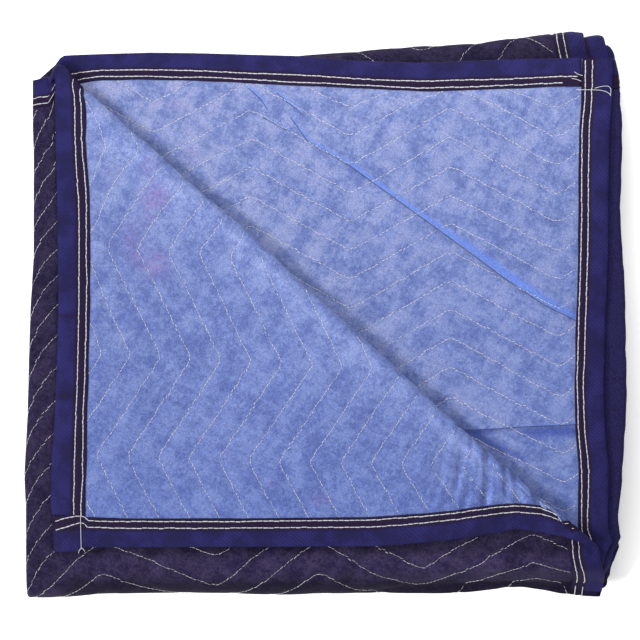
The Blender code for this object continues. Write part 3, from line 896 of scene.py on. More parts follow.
def stitches(name, pairs, radius, uneven):
    """Each stitch is a small five-sided spindle from its start to its end, bowed over the cloth.

    Its rings lie at shares of its length, each at its own share of the radius. The radius, the
    length and the place of each differ a little from the next one's, by the share uneven.
    """
    stray = 0.00022
    shortest, thinnest, thickest = 0.25, -0.6, 0.5
    starts = np.concatenate([pair[0] for pair in pairs])
    ends = np.concatenate([pair[1] for pair in pairs])
    normals = np.concatenate([pair[2] for pair in pairs])
    rng = np.random.default_rng(len(name))
    rings = ((0.0, 0.7), (0.18, 1.0), (0.82, 1.0), (1.0, 0.7))
    sides = 5
    run = ends - starts
    forward = run / np.linalg.norm(run, axis=1, keepdims=True)
    across = np.cross(forward, normals)
    across /= np.linalg.norm(across, axis=1, keepdims=True)
    lift = np.cross(across, forward)
    turn = 2.0 * math.pi * np.arange(sides) / sides
    radius = radius * (1.0 + uneven * rng.uniform(thinnest, thickest, (len(run), 1)))
    starts = starts + across * rng.normal(0.0, stray, (len(run), 1)) * uneven * 2.0
    run = run * (1.0 - shortest * uneven * rng.random((len(run), 1)))
    run = run + across * rng.normal(0.0, stray, (len(run), 1)) * uneven * 2.0
    verts = []
    for share, size in rings:
        centre = starts + run * share + lift * radius * 0.5 * math.sin(math.pi * share)
        for angle in turn:
            offset = across * math.cos(angle) + lift * math.sin(angle)
            verts.append(centre + offset * radius * size)
    verts = np.stack(verts, axis=1)
    count, per = verts.shape[:2]
    faces = []
    for ring in range(len(rings) - 1):
        for side in range(sides):
            after = (side + 1) % sides
            low, high = ring * sides, (ring + 1) * sides
            faces.append((low + side, high + side, high + after, low + after))
    base = (np.arange(count) * per)[:, None, None]
    quads = (base + np.array(faces)[None]).reshape(-1, 4)
    first = (base[:, :, 0] + np.arange(sides)[None]).tolist()
    last = (base[:, :, 0] + (per - 1 - np.arange(sides))[None]).tolist()
    return new_object(name, verts.reshape(-1, 3).tolist(), quads.tolist() + first + last)


def on_cloth(flat, side, lift, groove):
    """Places and normals on one face of the quilt, from three nearby points of it."""
    u, v = flat.T
    reach = 0.0006
    high = side * (half_thickness(u, v, groove) + lift)
    here = lay_in_stack(u, v, high)
    along_u = lay_in_stack(u + reach, v, high) - here
    along_v = lay_in_stack(u, v + reach, high) - here
    normal = np.cross(along_u, along_v) * side
    return here, normal / np.linalg.norm(normal, axis=1, keepdims=True)


def seam_stitches(points, side, settings, shown):
    """Stitches of one seam, kept where shown says so of their flat places.

    Those of the dark face stand off a little more, because the cloth's cells are larger there.
    """
    stitched = 0.92
    starts, ends = walk(points, settings.stitch_length, stitched)
    keep = shown(starts) & shown(ends)
    if not keep.any():
        return []
    starts, ends = starts[keep], ends[keep]
    lift = settings.seam_thread * 0.35 + (0.00030 if side > 0.0 else 0.0)
    begin, normal = on_cloth(starts, side, lift, settings.groove)
    end, _ = on_cloth(ends, side, lift, settings.groove)
    return [(begin, end, normal)]


def in_cloth(flat):
    """Whether flat places lie clear of the tapes."""
    u, v = flat.T
    margin = TAPE_WIDTH - 0.0004
    return (u > margin) & (u < CLOTH_WIDTH - margin) & (v > margin) & (v < CLOTH_DEPTH - margin)


def on_outside(flat):
    """Whether the dark face shows there: the left and front rims and the fold at the back."""
    u, v = flat.T
    rim = u > FIRST_U - 0.034
    front = (v > FIRST_V - 0.024) & (v < RIM_V)
    fold = (v > DEPTH_FOLD[3, 0] - 0.02) & (v < DEPTH_FOLD[4, 0] + 0.03)
    return in_cloth(flat) & (u < RIM_U) & (rim | front | fold)


def on_open_ply(flat):
    """Whether flat places of the second ply lie open, behind the crease."""
    u, v = flat.T
    return in_cloth(flat) & (past_crease(*open_place(u, v)) > -0.004) & (v < FIRST_V)


def on_turned_corner(flat):
    """Whether flat places of the top ply lie turned over, with their light face up."""
    u, v = flat.T
    past = past_crease(END_A - u, EDGE_C - v)
    return in_cloth(flat) & (past > ROLL_TOP) & (u < FIRST_U) & (v < FIRST_V)


def outer_seams(settings):
    """Seams on the dark face. Each is found by six rounds, since its drift depends on its place."""
    pairs = []
    pitch = OUTER_SEAM_PITCH * MM
    x = np.arange(END_A - RIM_U - 0.004, END_A, 0.002)
    for count in range(-24, 62):
        line = outer_seam_line(x)
        y = line - count * pitch
        for _ in range(6):
            y = line - (count + zigzag(OUTER_DRIFT, y)) * pitch
        points = np.stack((END_A - x, EDGE_C - y), axis=-1)
        pairs += seam_stitches(points, 1.0, settings, on_outside)
    return pairs


def open_seams(settings):
    """Seams on the light face of the second ply, from its back edge to under the crease."""
    pairs = []
    x = np.arange(NEAR_X, FAR_X, 0.002)
    for count in range(-4, 22):
        down = count * OPEN_SEAM_PITCH * MM
        y = open_seam_line(x, zigzag(OPEN_SEAM, x, 0.003) - down) - down
        y = y + seam_wander(x, y)
        pairs += seam_stitches(np.stack(open_flat(x, y), axis=-1), -1.0, settings, on_open_ply)
    return pairs


def flap_seams(settings):
    """Seams on the light face of the turned corner."""
    pairs = []
    y = np.arange(FLAP_CORNER[1], CREASE_START[1], 0.002)
    for count in range(-3, 20):
        right = count * FLAP_SEAM_PITCH * MM
        x = zigzag(FLAP_SEAM, y) + right
        for _ in range(2):
            x = flap_seam_line(x, y) + right
        x = x + seam_wander(x, y)
        points = np.stack(unturn(*ease_back(x, y)), axis=-1)
        pairs += seam_stitches(points, -1.0, settings, on_turned_corner)
    return pairs


def tape_stitches(settings):
    """Two rows of stitches on both faces of each tape, which slant over the other tape's end."""
    pairs = []
    lap = 0.0262
    reach = 0.001
    for name, (along_u, _) in TAPE_EDGES.items():
        length = CLOTH_WIDTH if along_u else CLOTH_DEPTH
        along = np.arange(0.0, length, 0.003)
        for row in TAPE_ROWS:
            waver = 0.0003 * ripple(along, along * 0.0, 41 + int(row * 1e4), 0.060, 5)
            if name == "binding_top_end":
                lifted = 0.0050 - 0.0070 * (1.0 - along / lap)
                waver = waver + np.where(along < lap, lifted, 0.0)
            points = np.stack(edge_point(name, along, row + waver), axis=-1)
            for side in (1.0, -1.0):
                starts, ends = walk(points, settings.tape_stitch_length, 1.0)
                shown = tape_shown(name, side)
                keep = shown(starts) & shown(ends)
                starts, ends = starts[keep], ends[keep]
                height = side * (PLY / 2.0 - 0.0004) * tape_rise(name, starts[:, 0 if along_u else 1])
                height = height + side * settings.tape_thread * 0.5
                first = lay_in_stack(*starts.T, height)
                last = lay_in_stack(*ends.T, height)
                above = lay_in_stack(*starts.T, height + side * reach)
                pairs.append((first, last, (above - first) / reach))
    return pairs


def tape_shown(name, side):
    """A test of flat places: can a tape's stitch be seen there, outside the stack or lying open?"""
    along_u = TAPE_EDGES[name][0]

    def shown(flat):
        u, v = flat.T
        past = past_crease(END_A - u, EDGE_C - v)
        outside = (u < RIM_U) & ((past < 0.0) | (v > FIRST_V))
        turned = (u < FIRST_U) & (v < FIRST_V) & (past > ROLL_TOP)
        opened = (u > LAST_U) & (v < FIRST_V) & (past_crease(*open_place(u, v)) > -0.01)
        last = CLOTH_WIDTH - TAPE_WIDTH - 0.016 * (v > TAPE_WIDTH - 0.006)
        clear = (u > TAPE_WIDTH) & (u < last) if along_u else u > -1.0
        return (outside if side > 0.0 else turned | opened) & clear

    return shown


def tube(path, radius, sides=6):
    """A round thread: a ring of the given radius carried along a smoothed path, closed by its ends."""
    places = np.linspace(0.0, len(path) - 1.0, (len(path) - 1) * 5 + 1)
    steps = np.arange(len(path))
    centre = np.stack([np.interp(places, steps, path[:, axis]) for axis in range(3)], axis=-1)
    for _ in range(6):
        centre[1:-1] = (centre[:-2] + 2.0 * centre[1:-1] + centre[2:]) / 4.0
    forward = np.gradient(centre, axis=0)
    forward /= np.linalg.norm(forward, axis=1, keepdims=True)
    across = np.cross(forward, np.array((0.0, 0.0, 1.0)))
    across /= np.linalg.norm(across, axis=1, keepdims=True) + 1e-9  # a thread straight up has none
    lift = np.cross(across, forward)
    turn = 2.0 * math.pi * np.arange(sides) / sides
    ring = across[:, None] * np.cos(turn)[None, :, None] + lift[:, None] * np.sin(turn)[None, :, None]
    verts = (centre[:, None] + radius * ring).reshape(-1, 3)
    return verts, carried_faces(len(centre), sides)


def join_tubes(name, tubes):
    """One object of several tubes, whose faces count on from the points before them."""
    verts, faces, base = [], [], 0
    for places, polygons in tubes:
        verts += places.tolist()
        faces += [[corner + base for corner in polygon] for polygon in polygons]
        base += len(places)
    return new_object(name, verts, faces)


# ---------------------------------------------------------------------------------- materials
class Finish:
    """A material under work: adds nodes and links them in one call each."""

    def __init__(self, name, roughness, sheen):
        self.material = bpy.data.materials.new(name)
        self.material.use_nodes = True
        self.tree = self.material.node_tree
        self.shader = self.tree.nodes["Principled BSDF"]
        self.shader.inputs["Roughness"].default_value = roughness
        self.shader.inputs["Specular IOR Level"].default_value = 0.05
        self.shader.inputs["Sheen Weight"].default_value = sheen
        self.shader.inputs["Sheen Roughness"].default_value = 0.5
        self.places = self.add("ShaderNodeTexCoord")

    def add(self, kind, inputs=(), **settings):
        node = self.tree.nodes.new(kind)
        for key, value in settings.items():
            setattr(node, key, value)
        for socket, value in dict(inputs).items():
            if isinstance(value, bpy.types.NodeSocket):
                self.tree.links.new(value, node.inputs[socket])
            else:
                node.inputs[socket].default_value = value
        return node

    def noise(self, vector, scale, detail=2.0, roughness=0.55):
        inputs = {"Vector": vector, "Scale": scale, "Detail": detail, "Roughness": roughness}
        return self.add("ShaderNodeTexNoise", inputs).outputs["Fac"]

    def attribute(self, name):
        return self.add("ShaderNodeAttribute", attribute_name=name).outputs["Fac"]

    def worked_out(self, kind, *values):
        return self.add("ShaderNodeMath", dict(enumerate(values)), operation=kind).outputs[0]

    def times(self, first, second, *plus):
        """first x second, plus a third value if one is given."""
        kind = "MULTIPLY_ADD" if plus else "MULTIPLY"
        return self.worked_out(kind, first, second, *plus)

    def ranged(self, value, low, high, to_low=0.0, to_high=1.0):
        """An S curve that leaves to_low at low and reaches to_high at high."""
        inputs = {"Value": value, "From Min": low, "From Max": high, "To Min": to_low, "To Max": to_high}
        settings = {"clamp": True, "interpolation_type": "SMOOTHSTEP"}
        return self.add("ShaderNodeMapRange", inputs, **settings).outputs[0]

    def band(self, value, start, full, last, end):
        """0 up to start, 1 from full to last, and 0 again from end on."""
        return self.times(self.ranged(value, start, full), self.ranged(value, last, end, 1.0, 0.0))

    def mixed(self, factor, first, second, blend="MIX"):
        inputs = {"Factor": factor, "A": first, "B": second}
        node = self.add("ShaderNodeMix", data_type="RGBA", blend_type=blend)
        for name, value in inputs.items():
            socket = next(s for s in node.inputs if s.name == name and s.enabled)
            if isinstance(value, bpy.types.NodeSocket):
                self.tree.links.new(value, socket)
            else:
                socket.default_value = value
        return next(s for s in node.outputs if s.enabled)

    def bumped(self, height, strength, distance):
        inputs = {"Height": height, "Strength": strength, "Distance": distance}
        bump = self.add("ShaderNodeBump", inputs)
        self.tree.links.new(bump.outputs["Normal"], self.shader.inputs["Normal"])

    def coloured(self, socket):
        self.tree.links.new(socket, self.shader.inputs["Base Color"])


def tinted(colour, share):
    """The colour with all three channels changed by the share, and opaque."""
    return (colour[0] * share, colour[1] * share, colour[2] * share, 1.0)


def faded(colour, share):
    """Red and green change by the share and blue by less, as dye does where it is worn."""
    return (colour[0] * share, colour[1] * share, colour[2] * share**0.62, 1.0)


def twill(finish, pitch):
    """Slanted ribs crossed by finer ones, as a twill tape has, from the cloth's own coordinates."""
    uv = finish.places.outputs["UV"]
    scale = 0.3142 / pitch  # a wave texture of scale 1 repeats every 0.3142 m
    slanted = {"Vector": uv, "Scale": scale / 1.41}
    ribs = finish.add("ShaderNodeTexWave", slanted, bands_direction="DIAGONAL")
    yarns = finish.add("ShaderNodeTexWave", {"Vector": uv, "Scale": scale}, bands_direction="X")
    return finish.times(ribs.outputs["Fac"], yarns.outputs["Fac"])


def seam_nearness(finish, reach):
    """1 on a zigzag seam, falling to 0 at the given share of the seams' pitch."""
    away = finish.worked_out("PINGPONG", finish.attribute("seam"), 0.5)
    return finish.ranged(away, 0.0, reach, 1.0, 0.0)


def brushed_noises(finish, spot):
    """Broad, crossed and fine noise, each stretched along a direction in which the nap was brushed."""
    brushes = (
        # angle, stretch, scale, detail, roughness
        (0.95, (1.5, 0.8, 1.0), 55.0, 5.0, 0.66),
        (-0.55, (1.7, 0.8, 1.0), 95.0, 5.0, 0.66),
        (1.15, (3.2, 0.7, 1.0), 260.0, 3.0, 0.60),
    )
    noises = []
    for angle, stretch, scale, detail, roughness in brushes:
        inputs = {"Vector": spot, "Rotation": (0.0, 0.0, angle), "Scale": stretch}
        brushed = finish.add("ShaderNodeMapping", inputs, vector_type="TEXTURE")
        noises.append(finish.noise(brushed.outputs["Vector"], scale, detail, roughness))
    return noises


def used_cloth(finish, settings, cloth, colour, noises):
    """The inner face's marks over its cloth, in turn: lint, painted shade in hollows and creases, tucks'
    clean strips with a painted highlight, painted shadow at their feet, stains, and worn nap with painted
    light.
    """
    broad, crossed, strokes = noises
    spot = finish.places.outputs["Object"]
    lint = finish.attribute("lint")
    patches = finish.ranged(broad, 0.42, 0.62)
    patches = finish.times(patches, finish.ranged(crossed, 0.30, 0.68, 0.25, 0.85))
    strokes = finish.times(finish.ranged(strokes, 0.48, 0.70), finish.ranged(crossed, 0.45, 0.60))
    patches = finish.times(strokes, 0.55, patches)
    cloth = finish.mixed(finish.times(patches, lint), cloth, tinted(settings.lint_colour, 1.0))
    # painted shade in the hollows beside the low tuck and along the turned corner's creases
    hollow_shade = finish.times(finish.attribute("hollow_shade"), finish.ranged(broad, 0.2, 0.5, 0.6, 0.95))
    cloth = finish.mixed(hollow_shade, cloth, tinted(settings.hollow_shade_colour, 1.0))
    # cleaner cloth on each tuck's strip, lightened as a painted highlight
    clean = finish.band(finish.attribute("strip"), -0.05, 0.10, 0.35, 1.05)
    cloth = finish.mixed(finish.times(clean, 0.85), cloth, tinted(settings.tuck_strip_and_highlight_colour, 1.0))
    shadow = finish.band(finish.attribute("foot"), -1.3, -0.6, -0.4, 0.2)
    cloth = finish.mixed(finish.times(shadow, 0.8), cloth, tinted(colour, 0.25))
    rough = finish.ranged(finish.noise(spot, 190.0, 4.0, 0.7), 0.36, 0.64, 0.15, 0.80)
    stain = finish.times(finish.attribute("stain"), rough)
    cloth = finish.mixed(stain, cloth, tinted(settings.stain_colour, 1.0))
    # painted light: brighter towards the back, and brighter in the band along the crease, which is partly
    # worn nap and partly painted highlight
    wear_and_light = finish.mixed(finish.attribute("wear_and_light"), (0.84, 0.90, 1.0, 1.0), (1.22, 1.16, 1.04, 1.0))
    return finish.mixed(1.0, cloth, wear_and_light, "MULTIPLY")


def dyed_cloth(finish, settings, cloth):
    """The outer face's cloth, which takes on the tape's colour towards the right edge."""
    dyed = finish.times(finish.attribute("dyed"), 0.95)
    return finish.mixed(dyed, cloth, tinted(settings.tape_colour, 1.0))


def face_cloth(name, settings, colour, contrast, inner):
    """A quilt's face cloth: brushed and mottled, with painted shade in its seams, and with painted
    highlight and shade on its nap.
    """
    finish = Finish(name, 0.75, 0.08 if inner else 0.0)
    spot = finish.places.outputs["Object"]
    noises = brushed_noises(finish, spot)
    mottle = finish.noise(spot, 300.0, 4.0, 0.75)
    fuzz = finish.noise(spot, 900.0, 3.0, 0.75)
    blend = finish.times(noises[1], 0.30, finish.times(noises[0], 0.30))
    blend = finish.times(mottle, 0.40, blend)
    shade = finish.ranged(blend, 0.40, 0.60)
    cloth = finish.mixed(shade, faded(colour, 1.0 - contrast), faded(colour, 1.0 + contrast * 0.8))
    if inner:
        cloth = used_cloth(finish, settings, cloth, colour, noises)
    else:
        cloth = dyed_cloth(finish, settings, cloth)
    # painted shade in the grooves along the seams
    near = seam_nearness(finish, 0.05)
    cloth = finish.mixed(finish.times(near, 0.25), cloth, tinted(colour, 0.5))
    flecks = finish.ranged(fuzz, 0.30, 0.70, 1.0 - contrast * 0.95, 1.0 + contrast * 0.95)
    # painted highlight and shade on the nap
    sheen_and_shade = finish.times(finish.attribute("sheen_and_shade"), 0.42 if inner else 0.50, 1.0)
    finish.coloured(finish.mixed(1.0, cloth, finish.times(flecks, sheen_and_shade), "MULTIPLY"))
    finish.bumped(finish.times(mottle, 1.6, fuzz), 0.6, 0.0005)
    return finish.material


def tape_cloth(settings):
    """The binding's tape: a tight ribbed weave, worn paler in patches, darker where it is sewn, and with
    painted shade in creases across the turned corner's tapes.
    """
    finish = Finish("binding_cloth", 0.6, 0.0)
    spot = finish.places.outputs["Object"]
    weave = twill(finish, 0.0013)
    broad = finish.noise(spot, 55.0, 3.0)
    mottle = finish.noise(spot, 420.0, 3.0, 0.65)
    colour = settings.tape_colour
    bluer = (colour[0], colour[1], colour[2] * 1.55, 1.0)
    paler = (colour[0] * 2.3, colour[1] * 2.3, colour[2] * 1.7, 1.0)
    shade = finish.ranged(finish.times(broad, 0.6, finish.times(mottle, 0.4)), 0.34, 0.66)
    cloth = finish.mixed(shade, tinted(colour, 0.75), bluer)
    threads = finish.times(weave, finish.ranged(broad, 0.42, 0.62, 0.15, 0.8))
    cloth = finish.mixed(threads, cloth, paler)
    # darker where it is sewn, and painted shade in the creases across the turned corner's tapes
    sewn = finish.times(finish.attribute("sewn"), 0.85)
    finish.coloured(finish.mixed(sewn, cloth, tinted(settings.sewn_and_crease_shade_colour, 1.0)))
    finish.bumped(finish.worked_out("ADD", weave, mottle), 0.5, 0.0004)
    return finish.material


def thread_finish(settings):
    """White spun thread with a fine fuzz."""
    finish = Finish("sewing_thread", 0.7, 0.1)
    spot = finish.places.outputs["Object"]
    fibre = finish.noise(spot, 2600.0, 2.0)
    colour = settings.thread_colour
    finish.coloured(finish.mixed(fibre, tinted(colour, 0.86), tinted(colour, 1.05)))
    finish.bumped(fibre, 0.3, 0.0002)
    return finish.material


def shared(name, maker, *arguments):
    """The named material, made the first time that a piece asks for it."""
    found = bpy.data.materials.get(name)
    return found or maker(*arguments)


def light_cloth(settings):
    return shared("light_cloth", face_cloth, "light_cloth", settings, settings.light_colour, 0.31, True)


def dark_cloth(settings):
    return shared("dark_cloth", face_cloth, "dark_cloth", settings, settings.dark_colour, 0.50, False)


def binding_cloth(settings):
    return shared("binding_cloth", tape_cloth, settings)


def sewing_thread(settings):
    return shared("sewing_thread", thread_finish, settings)


# --------------------------------------------------------------------------------- properties
def length_setting(name, description, default, **limits):
    return FloatProperty(name=name, description=description, default=default, unit="LENGTH", **limits)


def colour_setting(name, description, default):
    return FloatVectorProperty(name=name, description=description, default=default, subtype="COLOR")


class BlanketSettings(bpy.types.PropertyGroup):
    """Sizes and colours of the blanket that a user would change."""

    cell: length_setting("Cell", "Size of a mesh cell of the plies that show", 0.0026, min=0.0015)
    groove: length_setting("Groove", "How deep a seam draws in one face of the quilt", 0.00075)
    stitch_length: length_setting("Quilting stitch", "Step of the quilting stitches", 0.0034)
    seam_thread: length_setting("Quilting thread", "Radius of the quilting thread", 0.00022)
    tape_stitch_length: length_setting("Binding stitch", "Step of the binding's stitches", 0.0042)
    tape_thread: length_setting("Binding thread", "Radius of the binding's thread", 0.00044)
    light_colour: colour_setting("Inner cloth", "Colour of the inner face", (0.094, 0.128, 0.300))
    lint_colour: colour_setting("Lint", "Colour of the lint on the inner face", (0.150, 0.172, 0.325))
    dark_colour: colour_setting("Outer cloth", "Colour of the outer face", (0.0160, 0.0118, 0.0345))
    tape_colour: colour_setting("Binding", "Colour of the binding tape", (0.0116, 0.0100, 0.0480))
    # also the colour of the painted shade in creases across the turned corner's tapes
    sewn_and_crease_shade_colour: colour_setting("Sewn part", "Colour of the binding at its seams", (0.0105, 0.0052, 0.0165))
    thread_colour: colour_setting("Thread", "Colour of all thread", (0.44, 0.44, 0.47))
    # also a painted highlight on a tuck's strip
    tuck_strip_and_highlight_colour: colour_setting("Clean cloth", "Colour of the clean cloth in a tuck", (0.078, 0.140, 0.430))
    # painted shade of the hollows beside the low tuck and of the turned corner's creases
    hollow_shade_colour: colour_setting("Hollows", "Colour of the hollows at the low tuck", (0.036, 0.056, 0.220))
    stain_colour: colour_setting("Stain", "Colour of the stains on the inner face", (0.150, 0.098, 0.262))


class StageSettings(bpy.types.PropertyGroup):
    """Floor, light and camera."""

    floor_colour: colour_setting("Floor", "Colour of the floor", (0.93, 0.93, 0.93))
    fill: FloatProperty(name="Fill", description="Strength of the light from all round", default=0.76)
    key: FloatProperty(name="Key", description="Power of the light behind", default=6.2, unit="POWER")
    side: FloatProperty(
        name="Side", description="Power of the light at the front left", default=146.0, unit="POWER",
    )
    camera_height: length_setting("Camera height", "Camera above the top of the stack", 6.0)
    lens: FloatProperty(name="Lens", description="Focal length in millimetres", default=397.0)


# ---------------------------------------------------------------------------------- operators
QUILT_NODE = "quilt"
OPEN_LINT = 1.0  # how much lint the open ply has, and the rest of the quilt
OTHER_LINT = 0.4
FAR_OFF = 9.0  # what a tuck's masks say where no tuck is near

# stains on the inner cloth: centre and half sizes in millimetres, and strength
STAINS = (
    (-141.4, 103.3, 9.0, 9.0, 0.80), (-164.0, 67.0, 9.0, 13.0, 0.55), (-143.3, 44.2, 9.5, 11.0, 1.00),
    (-149.6, 129.0, 5.0, 9.0, 0.45), (-160.7, 49.3, 5.0, 9.0, 0.50), (-147.9, 90.0, 7.0, 14.0, 0.50),
    (-180.0, 123.0, 6.0, 4.5, 0.35), (-112.8, 139.0, 7.0, 5.0, 0.50), (-127.0, 180.7, 9.0, 4.0, 0.40),
    (-2.6, -155.8, 9.0, 6.0, 0.55), (-82.8, -114.7, 3.6, 3.6, 0.60), (-128.0, -163.0, 4.5, 5.0, 0.35),
    (-105.6, -102.8, 2.6, 3.4, 0.50), (34.0, -89.0, 3.4, 6.0, 0.30), (-45.0, -142.0, 4.0, 4.0, 0.30),
)


def stain_mask(x, y):
    """Sum of round bells, one for each stain."""
    stain = np.zeros(len(x))
    for centre_x, centre_y, half_x, half_y, strength in STAINS:
        away_x, away_y = (x / MM - centre_x) / half_x, (y / MM - centre_y) / half_y
        stain += strength * np.exp(-(away_x**2 + away_y**2))
    return stain


def tuck_masks(x, y):
    """Signed distance from the nearest tuck's foot: in millimetres, and as a share of its strip."""
    foot = np.full(len(x), FAR_OFF)
    strip = np.full(len(x), FAR_OFF)
    for table in TUCKS:
        signed, lap, _, width = tuck_terms(x, y, table)
        nearer = (np.abs(signed / MM) < np.abs(foot)) & (lap > 0.0001)
        foot = np.where(nearer, signed / MM, foot)
        strip = np.where(nearer, signed / np.maximum(width, 0.0001), strip)
    return foot, strip


def wear_and_highlight_mask(x, y, opened):
    """Where the nap is worn and carries a painted highlight: along the crease on the turned corner, and
    beyond it on the open ply.
    """
    past = past_crease(*ease_back(x, y))
    worn = ramp(-past, -0.0005, 0.0055) * fade(-past, 0.006, 0.012)
    beyond = ramp(past, 0.009, 0.007) * fade(past, 0.018, 0.022)
    return np.where(opened, 0.65 * beyond, worn) * ramp(y, -0.175, 0.05)


def sheen_and_shade_mask(x, y, worn):
    """Painted highlight and shade on the nap: on the satin-like folds and the worn band behind, and in
    streaks on the strip at the front, darker towards its lower rim.
    """
    streaks = ripple(x - 0.6 * y, y * 0.3, 33, 0.030) * 0.35 + 0.9 * bell(y, -0.210, 0.011)
    streaks -= 1.3 * ramp(-y, 0.221, 0.010) + 0.5 * bell(y, -0.197, 0.005) + 0.25
    folds = satin_folds(x, y) / 0.0020 + 0.40 * worn
    return np.where(y > -0.19, folds, streaks * ramp(x, -0.235, 0.03))


def paint(item, lint):
    """Keeps the face cloths' soft masks with a piece. Only the open ply has all of its lint."""
    places = flat_places(item.data)
    x, y = places[:, 0] + STACK_MIDDLE[0], places[:, 1] + STACK_MIDDLE[1]
    opened = lint == OPEN_LINT
    foot, strip = tuck_masks(x, y)
    # painted shade: in the hollows beside the low tuck on the open ply, and along the turned corner's
    # creases on the other pieces
    if opened:
        hollow_shade = ridges(x, y, HOLLOW_SHADES) / MM * ramp(-tuck_terms(x, y, LOW_TUCK)[0], 0.0002, 0.0008)
    else:
        hollow_shade = ripple(x, y, 5, 0.03) * 0.1 - ridges(x, y, FLAP_CREASES) / 0.0020
    worn = wear_and_highlight_mask(x, y, opened)
    masks = {
        "stain": np.clip(stain_mask(x, y), 0.0, 1.0),
        # paler and greyer towards the back and towards the left
        "lint": lint * np.clip(0.85 + 0.9 * y - 0.8 * x, 0.4, 1.2),
        "foot": np.clip(foot, -FAR_OFF, FAR_OFF),
        "strip": np.clip(strip, -FAR_OFF, FAR_OFF),
        # painted light, brighter towards the back, plus the band along the crease that is partly worn nap
        # and partly painted highlight
        "wear_and_light": np.clip(0.5 + y / 0.44 + 0.45 * worn, 0.0, 1.0),
        # painted highlight and shade on the nap's folds and the front strip
        "sheen_and_shade": np.clip(sheen_and_shade_mask(x, y, worn) * (not opened), -1.0, 1.0),
        "hollow_shade": np.clip(hollow_shade, 0.0, 1.0),
        "dyed": ramp(x, 0.215, 0.02),
    }
    for name, values in masks.items():
        set_mask(item.data, name, values)


def quilt_piece(settings, name, u_places, v_places, keep, lines=(), lint=OTHER_LINT):
    """A region of the quilt, with its masks, its two cloths and the CAD node that it replaces."""
    item = build_sheet(name, u_places, v_places, keep, lines, settings.groove)
    paint(item, lint)
    finish_piece(item, (dark_cloth(settings), light_cloth(settings)), (QUILT_NODE,))
    return item


def even(start, end, cell):
    """Even places from start to end, about a cell apart."""
    return np.linspace(start, end, max(2, int(round((end - start) / cell)) + 1))


def hemmed(places, length):
    """Adds the hem's own stations near an end of the cloth, and keeps clear of them."""
    full = HEM_END + HEM_SLOPE
    stations = np.array((0.0, 0.006, 0.012, 0.018, HEM_END, HEM_END + HEM_SLOPE * 0.35, full))
    stations = np.concatenate((stations, length - stations))
    places = places[(places > full + 0.001) & (places < length - full - 0.001)]
    return np.unique(np.concatenate((places, stations)))


class BLANKET_OT_turned_ply(bpy.types.Operator):
    """Top ply with its turned corner, and the rims that it runs over at the left and the front"""

    bl_idname = "blanket.turned_ply"
    bl_label = "Turned ply"

    def execute(self, context):
        settings = context.scene.blanket
        u_places = np.concatenate((even(0.0, FIRST_U, settings.cell)[:-1], even(FIRST_U, RIM_U, 0.0013)))
        v_places = np.concatenate((even(0.0, FIRST_V, settings.cell)[:-1], even(FIRST_V, RIM_V, 0.0022)))
        u_places = hemmed(u_places, CLOTH_WIDTH)
        v_places = hemmed(v_places, CLOTH_DEPTH)
        u_places = u_places[u_places <= RIM_U + TINY]
        v_places = v_places[v_places <= RIM_V + TINY]
        keep = np.ones((len(u_places) - 1, len(v_places) - 1), dtype=bool)
        quilt_piece(settings, "turned_ply", u_places, v_places, keep, crease_lines())
        return {"FINISHED"}


class BLANKET_OT_second_ply(bpy.types.Operator):
    """Second ply, whose light face lies open behind the crease, with its tucks and its stains"""

    bl_idname = "blanket.second_ply"
    bl_label = "Second ply"

    def execute(self, context):
        settings = context.scene.blanket
        u_places = hemmed(even(LAST_U, CLOTH_WIDTH, settings.cell), CLOTH_WIDTH)
        u_places = np.append(LAST_U, u_places[u_places > LAST_U + 0.001])
        v_places = hemmed(even(0.0, FIRST_V, settings.cell), CLOTH_DEPTH)
        v_places = np.append(v_places[v_places < FIRST_V - 0.001], FIRST_V)
        keep = np.ones((len(u_places) - 1, len(v_places) - 1), dtype=bool)
        lines = [line for table in TUCKS for line in tuck_lines(table)]
        quilt_piece(settings, "second_ply", u_places, v_places, keep, lines, OPEN_LINT)
        return {"FINISHED"}


class BLANKET_OT_other_plies(bpy.types.Operator):
    """The rest of the quilt: the plies below, seen at the sides, and the folds that join them"""

    bl_idname = "blanket.other_plies"
    bl_label = "Other plies"

    def execute(self, context):
        settings = context.scene.blanket
        u_places = hemmed(spread(WIDTH_FOLD, (48, 26, 26, 48), (8, 6, 6)), CLOTH_WIDTH)
        v_places = hemmed(spread(DEPTH_FOLD, (44, 36, 36, 44), (26, 14, 12)), CLOTH_DEPTH)
        middle_u = (u_places[:-1] + u_places[1:]) / 2.0
        middle_v = (v_places[:-1] + v_places[1:]) / 2.0
        first = (middle_u < RIM_U)[:, None] & (middle_v < RIM_V)[None, :]
        second = (middle_u > LAST_U)[:, None] & (middle_v < FIRST_V)[None, :]
        keep = ~(first | second)
        quilt_piece(settings, "other_plies", u_places, v_places, keep)
        return {"FINISHED"}


class BLANKET_OT_bindings(bpy.types.Operator):
    """Tape round all four edges of the cloth"""

    bl_idname = "blanket.bindings"
    bl_label = "Bindings"

    def execute(self, context):
        settings = context.scene.blanket
        for name in TAPE_EDGES:
            item = build_tape(name)
            finish_piece(item, (binding_cloth(settings),), (name,))
        return {"FINISHED"}


class BLANKET_OT_quilting(bpy.types.Operator):
    """White zigzag quilting stitches on the faces that show"""

    bl_idname = "blanket.quilting"
    bl_label = "Quilting stitches"

    def execute(self, context):
        settings = context.scene.blanket
        groups = (
            ("outer_face_stitches", outer_seams(settings)),
            ("open_ply_stitches", open_seams(settings)),
            ("turned_corner_stitches", flap_seams(settings)),
        )
        for name, pairs in groups:
            if not pairs:
                raise RuntimeError("no stitches were made for " + name)
            share = 0.85 if name == "outer_face_stitches" else 1.15
            add_thread(stitches(name, pairs, settings.seam_thread * share, 0.7), settings)
        return {"FINISHED"}


